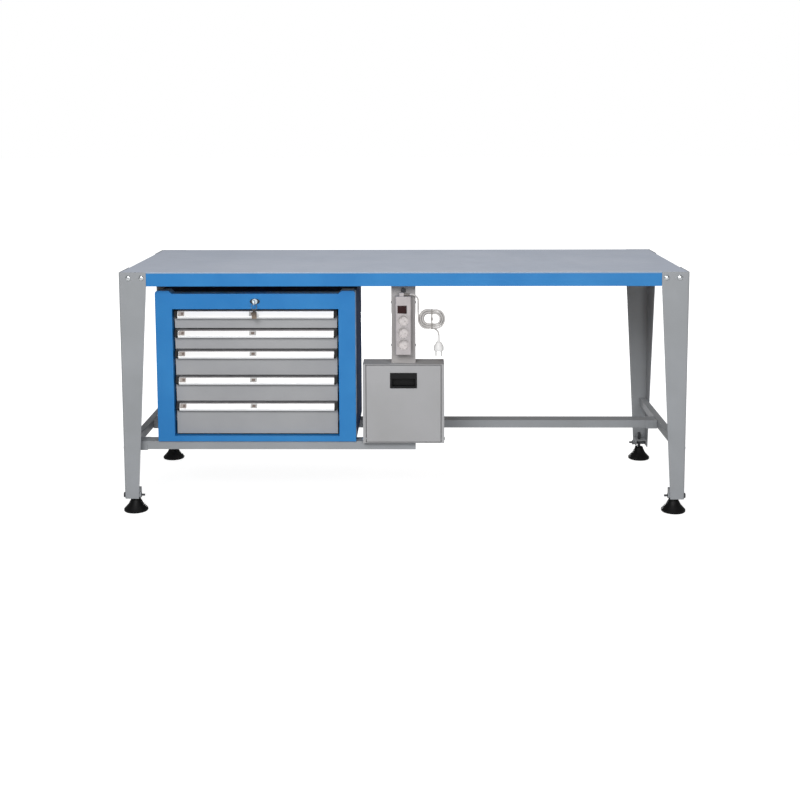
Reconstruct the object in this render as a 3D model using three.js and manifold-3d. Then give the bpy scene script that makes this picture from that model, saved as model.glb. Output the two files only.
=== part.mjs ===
// Workbench with a steel-edged top on four folded-sheet legs, a lower frame, a five-drawer cabinet,
// a post with a socket strip and a tilting-front box.
// Millimetres, +Z up. The origin lies on the floor under the middle of the bench; the front looks along -Y.
import * as THREE from 'three';
import { mergeVertices } from 'three/addons/utils/BufferGeometryUtils.js';
import Module from 'manifold-3d';

const wasm = await Module();
wasm.setup();

// Overall size
const benchLength = 2000;
const benchDepth = 750;
const benchHeight = 870;
const seatGap = 0.3;
const cutOverrun = 2;

// Worktop
const worktopThickness = 50;
const surfaceThickness = 5;
const surfaceEdgeRadius = 3;
const boardThickness = 30;
const fasciaSheet = 2;
const fasciaLip = 30;
const ribWidth = 80;
const ribSheet = 2;
const ribEndInset = 6;

// Legs
const legSheet = 3;
const legBend = 6;
const legFrontWidth = 96;
const legSideWidth = 150;
const legFootWidth = 50;
const legFootGap = 2;

// Coach screws that hold each leg to the worktop
const coachShank = 8;
const coachLength = 42;
const coachHead = 20;
const coachHeadRise = 5.5;
const coachFrontShares = [0.354, 0.833];
const coachSideShares = [0.4, 0.773];

// Levelling feet and their brackets
const footInset = 32;
const footBase = 86;
const footRim = 10;
const footEdge = 2;
const footNeck = 34;
const footNeckLength = 6;
const footHeight = 50;
const footWaistWidth = 54;
const footWaistHeight = 25;
const stemDiameter = 12;
const stemLength = 60;
const weldNutFlats = 19;
const weldNutHeight = 6;
const footBracketSheet = 4;
const footBracketWidth = 46;
const footBracketDepth = 46;
const footBracketRise = 30;
const footBracketDrop = 24;
const crossBolt = 8;
const crossBoltInset = 14;
const crossBoltRise = 11;
const crossBoltTail = 12;
const hexFlats = 17;
const hexHeadHeight = 5.3;
const hexNutHeight = 8;

// Lower frame
const railHeight = 30;
const railDepth = 60;
const railWall = 2;
const railUnderside = 220;
const frontRailSetback = 52;
const centreRailSetback = 365;
const sideRailWidth = 25;
const sideRailBoltInsets = [22, 54];
const saddleSheet = 2.5;
const saddleLength = 46;
const frameBolt = 8;
const frameBoltLength = 14;
const frameBoltHead = 15;
const frameBoltHeadHeight = 4.5;

// Crown of a round screw head: the height of its edge and two points on its arc
const headEdgeShare = 0.2;
const crownShares = [0.35, 0.7];

// Post between the worktop and the box
const postLength = 284.8;
const postWidth = 86;
const postDepth = 60;
const postSheet = 2.5;
const postPlate = 4;
const postBoltSpacing = 44;
const postHeadDrop = 36;
const postSideScrewDrop = 67;
const postSideScrewRise = 61.4;
const postSideScrewSetback = 20;
const sideScrewHead = 9;
const sideScrewHeadHeight = 3;
const sideScrewShank = 4;
const sideScrewLength = 9;

// Box with a tilting front
const boxWidth = 290;
const boxDepth = 100;
const boxSetback = 28;
const boxGap = 26;
const boxSheet = 2;
const boxRim = 10;
const flapGap = 2.2;
const flapSheet = 2;
const flapReturn = 12;
const pivotRise = 14;
const pivotSetback = 8;
const pivotPin = 6;
const pocketSheet = 1.5;
const pocketSideGap = 4;
const pocketBackGap = 4.7;
const pocketLowShare = 0.65;
const pocketToeShare = 0.23;
const pocketHeelShare = 0.16;
const stopLipDrop = 12;
const stopLipSetback = 16;
const stopHookReach = 5;
const pocketHookWidth = 8;
const handleOpeningWidth = 86;
const handleOpeningHeight = 46;
const handleBelowTop = 35.5;
const handleDepth = 22;
const handleWall = 2;
const handleFlange = 5;
const handleFlangeThickness = 1.5;
const handleGripDrop = 14;

// Drawer cabinet
const cabinetInset = 116;
const cabinetWidth = 713;
const cabinetHeadroom = 32.7;
const cabinetDepth = 460;
const cabinetSetback = 46;
const cabinetSheet = 2;
const cornerPostWidth = 60;
const cornerPostDepth = 60;
const cornerPostRise = 11;
const cornerPostRadius = 10;
const topRailHeight = 55;
const bottomRailHeight = 20;
const uprightDepth = 30;
const uprightSheet = 2;

// Drawers, their runners and handles
const drawerPitchShares = [70, 75, 95, 95, 120];
const drawerMargin = 5;
const drawerGap = 4;
const drawerSideGap = 6;
const frontRecess = 20;
const frontFold = 10;
const drawerSheet = 1.5;
const trayBackGap = 24.5;
const trayTopDrop = 12;
const trayBottomRise = 6;
const railChannelHeight = 24;
const railChannelWidth = 12.5;
const railChannelSheet = 1.5;
const channelBehindFold = 12;
const channelEndGap = 1.7;
const runnerClearance = 1;
const runnerTopPlay = 0.6;
const gripHeight = 29;
const gripReach = 15;
const gripWall = 3;
const gripLip = 6;
const gripInset = 12;
const gripCapCut = 7;

// Lock and key
const lockBelowTop = 27;
const lockPlateWidth = 36;
const lockPlateHeight = 20;
const lockPlateThickness = 2;
const lockBarrel = 19;
const lockBarrelRise = 4;
const lockBarrelLength = 22;
const lockPlug = 12;
const camReach = 16;
const camWidth = 9;
const camThickness = 2;
const keyThickness = 2.2;
const keyBlade = 7;
const keyBow = 20;
const keyNeck = 7;
const keyHole = 7;
const keySlotStop = 5.5;
const keyEyeDrop = 4;
const keyRingRadius = 10;
const keyRingWire = 0.9;
const fobWidth = 17;
const fobDrop = 32;
const fobStrap = 1.4;
const fobNeck = 6;
const fobPlay = 0.9;

// Socket strip
const stripWidth = 56;
const stripDepth = 40;
const stripFootRim = 16.5;
const stripBelowTop = 89;
const stripCorner = 6;
const socketCount = 3;
const socketSpacing = 2;
const rockerSocketGap = 4.5;
const socketDiameter = 41;
const socketWall = 2;
const socketWellDepth = 14;
const socketLength = 20;
const socketRise = 1;
const pinHole = 5.5;
const pinHoleDepth = 4;
const pinSpacing = 19;
const socketTurn = 45;
const earthClipWidth = 4;
const earthClipThickness = 1.4;
const earthClipReach = 8.4;
const rockerDrop = 45.5;
const rockerOffset = -4;
const rockerWidth = 30;
const rockerHeight = 27;
const rockerThickness = 9;
const rockerSwing = 14;
const rockerRise = 3;
const rockerClearance = 1.2;
const rockerWellDepth = 13;

// Mains lead, hank, tie and plug
const leadDiameter = 6;
const entryWidth = 16;
const entryHeight = 12;
const entryDepth = 18;
const entryOffset = -6;
const reliefLength = 20;
const reliefRoot = 10;
const reliefTip = 8;
const reliefCollarShare = 0.2;
const leadBend = 24;
const hankBelowStripTop = 81;
const hankFold = 18.5;
const hankStep = 7.9;
const hankLayerPitch = 7.2;
const hankRun = 20;
const hankWaistDraw = 7.5;
const hankWaistSpan = 34;
const hankNeighbourReach = 24;
const tieWidth = 5;
const tieBand = 1.4;
const tieCorner = 4.2;
const tieHeadWidth = 8;
const tieHeadHeight = 9;
const tieHeadThickness = 5;
const plugReliefLength = 22;
const plugBody = 36;
const plugShoulder = 22;
const plugLength = 34;
const plugShoulderLength = 5;
const plugTaperLength = 19;
const plugEdge = 2;
const plugPin = 4.8;
const plugPinLength = 19;

// Turns of the hank: in through its front layer, over to the rear one and out again
const turnsIn = 2.5;
const turnsOver = 0.5;
const turnsOut = 2.2;

// Counts of facets
const roundSides = 28;
const smallSides = 10;
const leadSides = 10;
const hankSides = 6;
const hankStepsPerLoop = 24;
const tieSamplesPerLoop = 240;
const leadBendSteps = 8;
const tailBendSteps = 10;
const selfGapParts = 6;

// Places worked out from the sizes above
const halfLength = benchLength / 2;
const halfDepth = benchDepth / 2;
const frontY = -halfDepth;
const surfaceUnderside = benchHeight - surfaceThickness;
const boardTop = surfaceUnderside - seatGap;
const boardUnderside = boardTop - boardThickness;
const worktopUnderside = benchHeight - worktopThickness;
const coachHeight = boardTop - boardThickness / 2;
const topHalfLength = halfLength - legSheet - seatGap;
const topHalfDepth = halfDepth - legSheet - seatGap;
const topCorner = legBend;
const ribUnderside = worktopUnderside + fasciaSheet - seatGap;
const ribTop = boardUnderside - seatGap;
const railTop = railUnderside + railHeight;
const legGroundClearance = footHeight + legFootGap;
const footBracketTop = legGroundClearance + footBracketRise;
const crossBoltHeight = legGroundClearance + crossBoltRise;
const coachFrontInsets = coachFrontShares.map((share) => share * legFrontWidth);
const coachSideInsets = coachSideShares.map((share) => share * legSideWidth);
const sideRailMiddle = railUnderside + railHeight / 2;
const sideRailOuter = halfLength - legSheet - seatGap;
const sideRailInner = sideRailOuter - sideRailWidth;
const postTop = ribUnderside - seatGap;
const postBottom = postTop - postLength;
const boxBottom = railTop + seatGap;
const boxTop = postBottom - seatGap;
const boxHeight = boxTop - boxBottom;
const boxFrontY = frontY + boxSetback;
const pivotY = boxFrontY + pivotSetback;
const pivotZ = boxBottom + pivotRise;
const postFrontY = frontY + frontRailSetback;
const cabinetLeft = -halfLength + cabinetInset;
const cabinetRight = cabinetLeft + cabinetWidth;
const cabinetMiddle = (cabinetLeft + cabinetRight) / 2;
const boxMiddle = cabinetRight + boxGap + boxWidth / 2;
const cabinetBottom = railTop + seatGap;
const cabinetTop = worktopUnderside - cabinetHeadroom;
const cabinetFrontY = frontY + cabinetSetback;
const shellFrontY = cabinetFrontY + cornerPostDepth + seatGap;
const cabinetBackY = cabinetFrontY + cabinetDepth;
const openingLeft = cabinetLeft + cornerPostWidth;
const openingRight = cabinetRight - cornerPostWidth;
const openingBottom = cabinetBottom + bottomRailHeight;
const openingTop = cabinetTop - topRailHeight;
const ribMiddles = [cabinetMiddle, boxMiddle, (halfLength + boxMiddle + postWidth) / 2];
const socketPitch = socketDiameter + socketSpacing;
const topSocketDrop = rockerDrop + rockerHeight / 2 + rockerSocketGap + socketDiameter / 2;
const lowSocketDrop = topSocketDrop + (socketCount - 1) * socketPitch;
const stripTop = benchHeight - stripBelowTop;
const stripBottom = stripTop - lowSocketDrop - socketDiameter / 2 - stripFootRim;
const stripFrontY = postFrontY - seatGap - stripDepth;
const coachHole = coachShank + 2 * seatGap;

// Colours and finishes
const finishes = {
  legGrey: { color: 0x9a9da1, roughness: 0.5, metalness: 0.1 },
  boxGrey: { color: 0xa3a4a6, roughness: 0.5, metalness: 0.1 },
  blue: { color: 0x2f7fc4, roughness: 0.45, metalness: 0.1 },
  drawerGrey: { color: 0x9c9a9d, roughness: 0.5, metalness: 0.1 },
  topGrey: { color: 0x989ba6, roughness: 0.6, metalness: 0 },
  plywood: { color: 0xb98f5c, roughness: 0.8, metalness: 0 },
  zinc: { color: 0xb9bcbf, roughness: 0.35, metalness: 0.9 },
  black: { color: 0x141414, roughness: 0.55, metalness: 0 },
  rocker: { color: 0x3a0f10, roughness: 0.4, metalness: 0 },
  white: { color: 0xdedcdb, roughness: 0.5, metalness: 0 },
  cordGrey: { color: 0xd4d2d0, roughness: 0.6, metalness: 0 },
  aluminium: { color: 0xd8dadb, roughness: 0.4, metalness: 0.8 },
  brass: { color: 0xb08d4a, roughness: 0.35, metalness: 0.9 },
  leather: { color: 0x7c5a3c, roughness: 0.7, metalness: 0 },
};

// Geometry helpers
function merged(geometry) {
  const plain = geometry.index ? geometry.toNonIndexed() : geometry.clone();
  plain.deleteAttribute('normal');
  plain.deleteAttribute('uv');
  return mergeVertices(plain, 1e-4);
}

function toSolid(geometry) {
  const joined = merged(geometry);
  return new wasm.Manifold(new wasm.Mesh({
    numProp: 3,
    vertProperties: new Float32Array(joined.attributes.position.array),
    triVerts: new Uint32Array(joined.index.array),
  }));
}

function toGeometry(solid) {
  const mesh = solid.getMesh();
  const geometry = new THREE.BufferGeometry();
  geometry.setAttribute('position', new THREE.BufferAttribute(new Float32Array(mesh.vertProperties), 3));
  geometry.setIndex(new THREE.BufferAttribute(new Uint32Array(mesh.triVerts), 1));
  geometry.computeVertexNormals();
  return geometry;
}

function joined(...geometries) {
  return toGeometry(geometries.map(toSolid).reduce((sum, next) => sum.add(next)));
}

function cut(geometry, ...tools) {
  return toGeometry(tools.map(toSolid).reduce((rest, tool) => rest.subtract(tool), toSolid(geometry)));
}

function block(x0, x1, y0, y1, z0, z1) {
  const geometry = new THREE.BoxGeometry(x1 - x0, y1 - y0, z1 - z0);
  return geometry.translate((x0 + x1) / 2, (y0 + y1) / 2, (z0 + z1) / 2);
}

const axisX = new THREE.Vector3(1, 0, 0);
const axisY = new THREE.Vector3(0, 1, 0);
const axisZ = new THREE.Vector3(0, 0, 1);

function extruded(shape, depth, curveSegments) {
  return new THREE.ExtrudeGeometry(shape, { depth, bevelEnabled: false, curveSegments });
}

// Prisms whose outline is drawn in (y, z), (x, z) or (x, y)
function prismX(shape, x0, x1, curveSegments = 6) {
  const turn = new THREE.Matrix4().makeBasis(axisY, axisZ, axisX);
  return extruded(shape, x1 - x0, curveSegments).applyMatrix4(turn).translate(x0, 0, 0);
}

function prismY(shape, y0, y1, curveSegments = 6) {
  const turn = new THREE.Matrix4().makeBasis(axisX, axisZ, axisY.clone().negate());
  return extruded(shape, y1 - y0, curveSegments).applyMatrix4(turn).translate(0, y1, 0);
}

function prismZ(shape, z0, z1, curveSegments = 6) {
  return extruded(shape, z1 - z0, curveSegments).translate(0, 0, z0);
}

function polygon(points) {
  return new THREE.Shape(points.map(([a, b]) => new THREE.Vector2(a, b)));
}

function rectangle(a0, a1, b0, b1) {
  return polygon([[a0, b0], [a1, b0], [a1, b1], [a0, b1]]);
}

function roundedRectangle(a0, a1, b0, b1, radius) {
  const shape = new THREE.Shape();
  shape.moveTo(a0 + radius, b0);
  shape.lineTo(a1 - radius, b0);
  shape.absarc(a1 - radius, b0 + radius, radius, -Math.PI / 2, 0);
  shape.lineTo(a1, b1 - radius);
  shape.absarc(a1 - radius, b1 - radius, radius, 0, Math.PI / 2);
  shape.lineTo(a0 + radius, b1);
  shape.absarc(a0 + radius, b1 - radius, radius, Math.PI / 2, Math.PI);
  shape.lineTo(a0, b0 + radius);
  shape.absarc(a0 + radius, b0 + radius, radius, Math.PI, 1.5 * Math.PI);
  return shape;
}

// A piece drawn upright along +Y is turned to point along a direction and set down at a place
function pointed(geometry, direction, x, y, z) {
  const turn = new THREE.Quaternion().setFromUnitVectors(axisY, direction.clone().normalize());
  return geometry.applyQuaternion(turn).translate(x, y, z);
}

function turned(profile, sides) {
  return new THREE.LatheGeometry(profile.map(([r, h]) => new THREE.Vector2(r, h)), sides);
}

function rod(radius, length, direction, x, y, z, sides = smallSides) {
  return pointed(turned([[0, 0], [radius, 0], [radius, length], [0, length]], sides), direction, x, y, z);
}

// Round-headed screw: the seat of its head is at the place given, the head on the side of direction
function roundHeadScrew(shank, length, head, rise, direction, x, y, z) {
  const edge = rise * headEdgeShare;
  const crown = crownShares.map((share) => {
    const angle = share * Math.PI / 2;
    return [head / 2 * Math.cos(angle), edge + (rise - edge) * Math.sin(angle)];
  });
  const profile = [
    [0, -length], [shank / 2, -length], [shank / 2, 0], [head / 2, 0], [head / 2, edge],
    ...crown, [0, rise],
  ];
  return pointed(turned(profile, smallSides), direction, x, y, z);
}

function hexPrism(flats, height, direction, x, y, z) {
  return rod(flats / Math.sqrt(3), height, direction, x, y, z, 6);
}

// A geometry drawn for one corner, as (inward from the side, inward from the face, up), goes to each corner
function toCorner(geometry, sideX, sideY) {
  const placed = merged(geometry);
  const move = new THREE.Matrix4().makeScale(-sideX, -sideY, 1);
  placed.applyMatrix4(move).translate(sideX * halfLength, sideY * halfDepth, 0);
  if (sideX * sideY < 0) {
    const index = placed.index.array;
    for (let i = 0; i < index.length; i += 3) {
      const first = index[i];
      index[i] = index[i + 1];
      index[i + 1] = first;
    }
  }
  return placed;
}

const corners = [
  ['front_left', -1, -1],
  ['front_right', 1, -1],
  ['rear_left', -1, 1],
  ['rear_right', 1, 1],
];

const workbench = new THREE.Group();

function add(name, geometry, finish, x = 0) {
  const plain = merged(geometry.clone().translate(x, 0, 0));
  plain.computeVertexNormals();
  const mesh = new THREE.Mesh(plain, new THREE.MeshStandardMaterial(finishes[finish]));
  mesh.name = name;
  workbench.add(mesh);
}

// Worktop: grey sheet over a plywood board, in a welded blue frame whose lip and ribs carry the board
function coachHoles() {
  const length = coachLength + cutOverrun + seatGap;
  const local = [
    ...coachFrontInsets.map((inset) => rod(coachHole / 2, length, axisY, inset, -cutOverrun, coachHeight)),
    ...coachSideInsets.map((inset) => rod(coachHole / 2, length, axisX, -cutOverrun, inset, coachHeight)),
  ];
  return corners.flatMap(([, sideX, sideY]) => local.map((hole) => toCorner(hole, sideX, sideY)));
}

function topOutline() {
  return roundedRectangle(-topHalfLength, topHalfLength, -topHalfDepth, topHalfDepth, topCorner);
}

function worktopSurface() {
  const outline = topOutline();
  const chamfer = surfaceEdgeRadius;
  const geometry = new THREE.ExtrudeGeometry(outline, {
    depth: surfaceThickness - chamfer,
    bevelEnabled: true,
    bevelThickness: chamfer,
    bevelSize: chamfer,
    bevelOffset: -chamfer,
    bevelSegments: 3,
    curveSegments: 3,
  });
  geometry.translate(0, 0, benchHeight - surfaceThickness);
  const below = block(-benchLength, benchLength, -benchDepth, benchDepth, 0, surfaceUnderside);
  return cut(geometry, below);
}

function postHeadBoltPlaces() {
  return [-1, 1].map((side) => [side * postBoltSpacing / 2, postFrontY + postDepth / 2]);
}

function worktopRib(x) {
  const reach = topHalfDepth - fasciaSheet - ribEndInset;
  const outer = block(x - ribWidth / 2, x + ribWidth / 2, -reach, reach, ribUnderside, ribTop);
  const hollow = block(
    x - ribWidth / 2 + ribSheet, x + ribWidth / 2 - ribSheet, -reach - cutOverrun, reach + cutOverrun,
    ribUnderside + ribSheet, ribTop + cutOverrun);
  return cut(outer, hollow);
}

function worktopFrame() {
  const wall = fasciaSheet;
  const outer = prismZ(topOutline(), worktopUnderside, boardTop, 3);
  const inside = block(
    -topHalfLength + wall, topHalfLength - wall, -topHalfDepth + wall, topHalfDepth - wall,
    worktopUnderside + wall, boardTop + cutOverrun);
  const lip = fasciaLip + wall;
  const underside = block(
    -topHalfLength + lip, topHalfLength - lip, -topHalfDepth + lip, topHalfDepth - lip,
    worktopUnderside - cutOverrun, boardTop);
  const rim = cut(outer, inside, underside, ...coachHoles());
  const boltHoles = postHeadBoltPlaces().map(([x, y]) => {
    return rod(
      frameBolt / 2 + seatGap, 2 * ribSheet + cutOverrun, axisZ, boxMiddle + x, y, ribUnderside - cutOverrun);
  });
  return cut(joined(rim, ...ribMiddles.map(worktopRib)), ...boltHoles);
}

function worktopBoard() {
  const edge = fasciaSheet + seatGap;
  const board = block(
    -topHalfLength + edge, topHalfLength - edge, -topHalfDepth + edge, topHalfDepth - edge,
    boardUnderside, boardTop - seatGap);
  return cut(board, ...coachHoles());
}

add('worktop_surface', worktopSurface(), 'topGrey');
add('worktop_board', worktopBoard(), 'plywood');
add('worktop_frame', worktopFrame(), 'blue');

// Legs: folded L-section whose two plates taper from the worktop to the foot, with the coach screws in them
function legGeometry() {
  const outline = new THREE.Shape();
  outline.moveTo(legBend, 0);
  outline.lineTo(legFrontWidth, 0);
  outline.lineTo(legFrontWidth, legSheet);
  outline.lineTo(legBend, legSheet);
  outline.absarc(legBend, legBend, legBend - legSheet, 1.5 * Math.PI, Math.PI, true);
  outline.lineTo(legSheet, legSideWidth);
  outline.lineTo(0, legSideWidth);
  outline.lineTo(0, legBend);
  outline.absarc(legBend, legBend, legBend, Math.PI, 1.5 * Math.PI);
  const angle = prismZ(outline, legGroundClearance, benchHeight, 4);
  const taper = (topWidth) => polygon([
    [legFootWidth, legGroundClearance], [legFootWidth, legGroundClearance - cutOverrun],
    [topWidth + cutOverrun, legGroundClearance - cutOverrun], [topWidth + cutOverrun, worktopUnderside],
    [topWidth, worktopUnderside],
  ]);
  const frontTaper = prismY(taper(legFrontWidth), -cutOverrun, legSheet + cutOverrun);
  const sideTaper = prismX(taper(legSideWidth), -cutOverrun, legSheet + cutOverrun);
  const holes = sideRailBoltInsets.map((inset) => rod(
    frameBolt / 2 + seatGap, legSheet + 2 * cutOverrun, axisX, -cutOverrun, inset, sideRailMiddle));
  holes.push(rod(
    crossBolt / 2 + seatGap, legSheet + 2 * cutOverrun, axisX, -cutOverrun, crossBoltInset, crossBoltHeight));
  const screw = (direction, u, v) => roundHeadScrew(
    coachShank, coachLength, coachHead, coachHeadRise, direction, u, v, coachHeight);
  const screws = [
    ...coachFrontInsets.map((inset) => screw(axisY.clone().negate(), inset, seatGap)),
    ...coachSideInsets.map((inset) => screw(axisX.clone().negate(), seatGap, inset)),
  ];
  return joined(cut(angle, frontTaper, sideTaper, ...holes), ...screws);
}

const leg = legGeometry();
for (const [place, sideX, sideY] of corners) {
  add(`leg_${place}`, toCorner(leg, sideX, sideY), 'legGrey');
}

// Foot brackets: a bent plate inside each leg with a weld nut, clamped by a cross bolt, that carries the stem
function footBracketGeometry() {
  const start = legSheet + seatGap;
  const end = start + footBracketWidth;
  const webUnderside = footBracketTop - footBracketSheet;
  const earBottom = footBracketTop - footBracketDrop;
  const front = legBend + seatGap;
  const back = front + footBracketDepth;
  const web = block(start, end, front, back, webUnderside, footBracketTop);
  const ear = (u) => block(u, u + footBracketSheet, front, back, earBottom, footBracketTop);
  const weldNut = hexPrism(
    weldNutFlats, weldNutHeight + footBracketSheet / 2, axisZ, footInset, footInset,
    webUnderside - weldNutHeight);
  const headStart = -seatGap - hexHeadHeight / 2;
  const nutStart = end - seatGap;
  const boltEnd = nutStart + hexNutHeight + crossBoltTail;
  const bolt = rod(crossBolt / 2, boltEnd - headStart, axisX, headStart, crossBoltInset, crossBoltHeight);
  const head = hexPrism(
    hexFlats, hexHeadHeight, axisX.clone().negate(), -seatGap, crossBoltInset, crossBoltHeight);
  const nut = hexPrism(hexFlats, hexNutHeight, axisX, nutStart, crossBoltInset, crossBoltHeight);
  const whole = joined(web, ear(start), ear(end - footBracketSheet), weldNut, bolt, head, nut);
  return cut(whole, rod(
    stemDiameter / 2 + seatGap, footBracketDrop, axisZ, footInset, footInset, earBottom, roundSides));
}

const footBracket = footBracketGeometry();
for (const [place, sideX, sideY] of corners) {
  add(`foot_bracket_${place}`, toCorner(footBracket, sideX, sideY), 'legGrey');
}

// Levelling feet: a conical plastic pad moulded on a threaded stem
function footGeometry() {
  const base = footBase / 2;
  const neck = footNeck / 2;
  const stem = stemDiameter / 2;
  const profile = [
    [0, 0], [base - footEdge, 0], [base, footEdge], [base, footRim - footEdge], [base - footEdge, footRim],
    [footWaistWidth / 2, footWaistHeight], [neck, footHeight - footNeckLength], [neck, footHeight - footEdge],
    [neck - footEdge, footHeight], [stem, footHeight], [stem, footHeight + stemLength],
    [0, footHeight + stemLength],
  ];
  return turned(profile, roundSides).rotateX(Math.PI / 2).translate(footInset, footInset, 0);
}

const foot = footGeometry();
for (const [place, sideX, sideY] of corners) {
  add(`foot_${place}`, toCorner(foot, sideX, sideY), 'black');
}

// Lower frame: side rails inside the legs, a centre rail and a front rail held in folded saddles
function tube(shapeOf, prism, from, to) {
  const outline = shapeOf(0);
  outline.holes.push(shapeOf(railWall));
  return prism(outline, from, to);
}

function frameBoltAt(direction, x, y, z) {
  return roundHeadScrew(frameBolt, frameBoltLength, frameBoltHead, frameBoltHeadHeight, direction, x, y, z);
}

const sideRailEnd = halfDepth - legBend - seatGap;

function sideRail(side) {
  const inner = Math.min(side * sideRailInner, side * sideRailOuter);
  const outer = Math.max(side * sideRailInner, side * sideRailOuter);
  const shapeOf = (wall) => rectangle(inner + wall, outer - wall, railUnderside + wall, railTop - wall);
  const outward = new THREE.Vector3(side, 0, 0);
  const bolts = [-1, 1].flatMap((end) => sideRailBoltInsets.map((inset) => frameBoltAt(
    outward, side * (halfLength + seatGap), end * (halfDepth - inset), sideRailMiddle)));
  return joined(tube(shapeOf, prismY, -sideRailEnd, sideRailEnd), ...bolts);
}

const centreRailY = frontY + centreRailSetback;
const frontRailY = frontY + frontRailSetback;
const railStart = sideRailInner - seatGap - saddleSheet - seatGap;
const frontRailEnd = boxMiddle + postWidth / 2;

function longRail(y, x0, x1) {
  const shapeOf = (wall) => rectangle(y + wall, y + railDepth - wall, railUnderside + wall, railTop - wall);
  return tube(shapeOf, prismX, x0, x1);
}

// Saddle: a folded U under and beside the rail's end, with an end plate against the side rail
function saddle(side, y) {
  const near = side * (sideRailInner - seatGap);
  const far = near - side * saddleLength;
  const plateFar = near - side * saddleSheet;
  const around = saddleSheet + seatGap;
  const low = railUnderside - around;
  const span = (a, b) => [Math.min(a, b), Math.max(a, b)];
  const cradle = block(...span(near, far), y - around, y + railDepth + around, low, railTop);
  const hollow = block(
    ...span(plateFar, far - side * cutOverrun), y - seatGap, y + railDepth + seatGap,
    railUnderside - seatGap, railTop + cutOverrun);
  return cut(cradle, hollow);
}

add('side_stretcher_left', sideRail(-1), 'legGrey');
add('side_stretcher_right', sideRail(1), 'legGrey');
add('centre_stretcher', longRail(centreRailY, -railStart, railStart), 'legGrey');
add('front_rail', longRail(frontRailY, -railStart, frontRailEnd), 'legGrey');
add('saddle_centre_left', saddle(-1, centreRailY), 'legGrey');
add('saddle_centre_right', saddle(1, centreRailY), 'legGrey');
add('saddle_front_left', saddle(-1, frontRailY), 'legGrey');

// Post: a folded channel, open behind, from the box up to the rib under the worktop
const headPlateTop = postTop;
const headPlateUnderside = headPlateTop - postPlate;
const headBoltHeight = headPlateUnderside - postHeadDrop / 2;
const footPlateTop = postBottom + postPlate;

function postSideScrews() {
  const y = postFrontY + postSideScrewSetback;
  const heights = [worktopUnderside - postSideScrewDrop, postBottom + postSideScrewRise];
  return heights.flatMap((z) => [-1, 1].map((side) => roundHeadScrew(
    sideScrewShank, sideScrewLength, sideScrewHead, sideScrewHeadHeight, new THREE.Vector3(side, 0, 0),
    side * (postWidth / 2 - seatGap), y, z)));
}

function postGeometry() {
  const half = postWidth / 2;
  const inner = half - postSheet;
  const back = postFrontY + postDepth;
  const outline = polygon([
    [-half, postFrontY], [half, postFrontY], [half, back], [inner, back],
    [inner, postFrontY + postSheet], [-inner, postFrontY + postSheet], [-inner, back], [-half, back],
  ]);
  const footPlate = block(-half, half, postFrontY, back, postBottom, footPlateTop);
  const bolts = postHeadBoltPlaces().map(([x, y]) => frameBoltAt(axisZ, x, y, footPlateTop - seatGap));
  const hole = rod(
    frameBolt / 2 + seatGap, 2 * postSheet + cutOverrun, axisY, 0, postFrontY - cutOverrun, headBoltHeight);
  const channel = cut(joined(prismZ(outline, postBottom, postTop), footPlate), hole);
  return joined(channel, ...bolts, ...postSideScrews());
}

function postHeadBracket() {
  const half = postWidth / 2 - postSheet - seatGap;
  const front = postFrontY + postSheet + seatGap;
  const back = postFrontY + postDepth;
  const plate = block(-half, half, front, back, headPlateUnderside, headPlateTop);
  const flangeFoot = headPlateUnderside - postHeadDrop;
  const flange = block(-half, half, front, front + postPlate, flangeFoot, headPlateTop);
  const upward = postHeadBoltPlaces().map(([x, y]) => {
    return frameBoltAt(axisZ.clone().negate(), x, y, headPlateUnderside + seatGap);
  });
  const headY = postFrontY - seatGap;
  const head = hexPrism(hexFlats, hexHeadHeight, axisY.clone().negate(), 0, headY, headBoltHeight);
  const shank = rod(frameBolt / 2, frameBoltLength, axisY, 0, headY - hexHeadHeight / 2, headBoltHeight);
  return joined(plate, flange, ...upward, head, shank);
}

add('post', postGeometry(), 'legGrey', boxMiddle);
add('post_head_bracket', postHeadBracket(), 'legGrey', boxMiddle);

// Box: a folded shell, open in front between two rims, with a lip inside its top that stops the flap
const boxHalf = boxWidth / 2;
const boxBackY = boxFrontY + boxDepth;

function boxShell() {
  const outer = block(-boxHalf, boxHalf, boxFrontY, boxBackY, boxBottom, boxTop);
  const inside = block(
    -boxHalf + boxSheet, boxHalf - boxSheet, boxFrontY + boxSheet, boxBackY - boxSheet,
    boxBottom + boxSheet, boxTop - boxSheet);
  const mouth = block(
    -boxHalf + boxRim, boxHalf - boxRim, boxFrontY - cutOverrun, boxFrontY + 2 * boxSheet,
    boxBottom + boxSheet, boxTop - boxSheet);
  const lipHalf = boxHalf - boxSheet;
  const lip = block(
    -lipHalf, lipHalf, boxFrontY + stopLipSetback, boxFrontY + stopLipSetback + boxSheet,
    boxTop - boxSheet - stopLipDrop, boxTop - boxSheet / 2);
  const pinHoles = rod(
    pivotPin / 2 + seatGap, boxWidth + 2 * cutOverrun, axisX, -boxHalf - cutOverrun, pivotY, pivotZ);
  const postHoles = postHeadBoltPlaces().map(([x, y]) => {
    return rod(
      frameBolt / 2 + seatGap, 2 * boxSheet + cutOverrun, axisZ, x, y, boxTop - boxSheet - cutOverrun);
  });
  return cut(joined(cut(outer, inside, mouth), lip), pinHoles, ...postHoles);
}

// Flap: a pan with folded edges that tilts out on two pins at its foot
const flapHalf = boxHalf - boxRim - flapGap;
const flapBottom = boxBottom + boxSheet + flapGap;
const flapTop = boxTop - boxSheet - flapGap;
const handleHalf = handleOpeningWidth / 2;
const handleTop = boxTop - handleBelowTop;
const handleBottom = handleTop - handleOpeningHeight;

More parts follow.
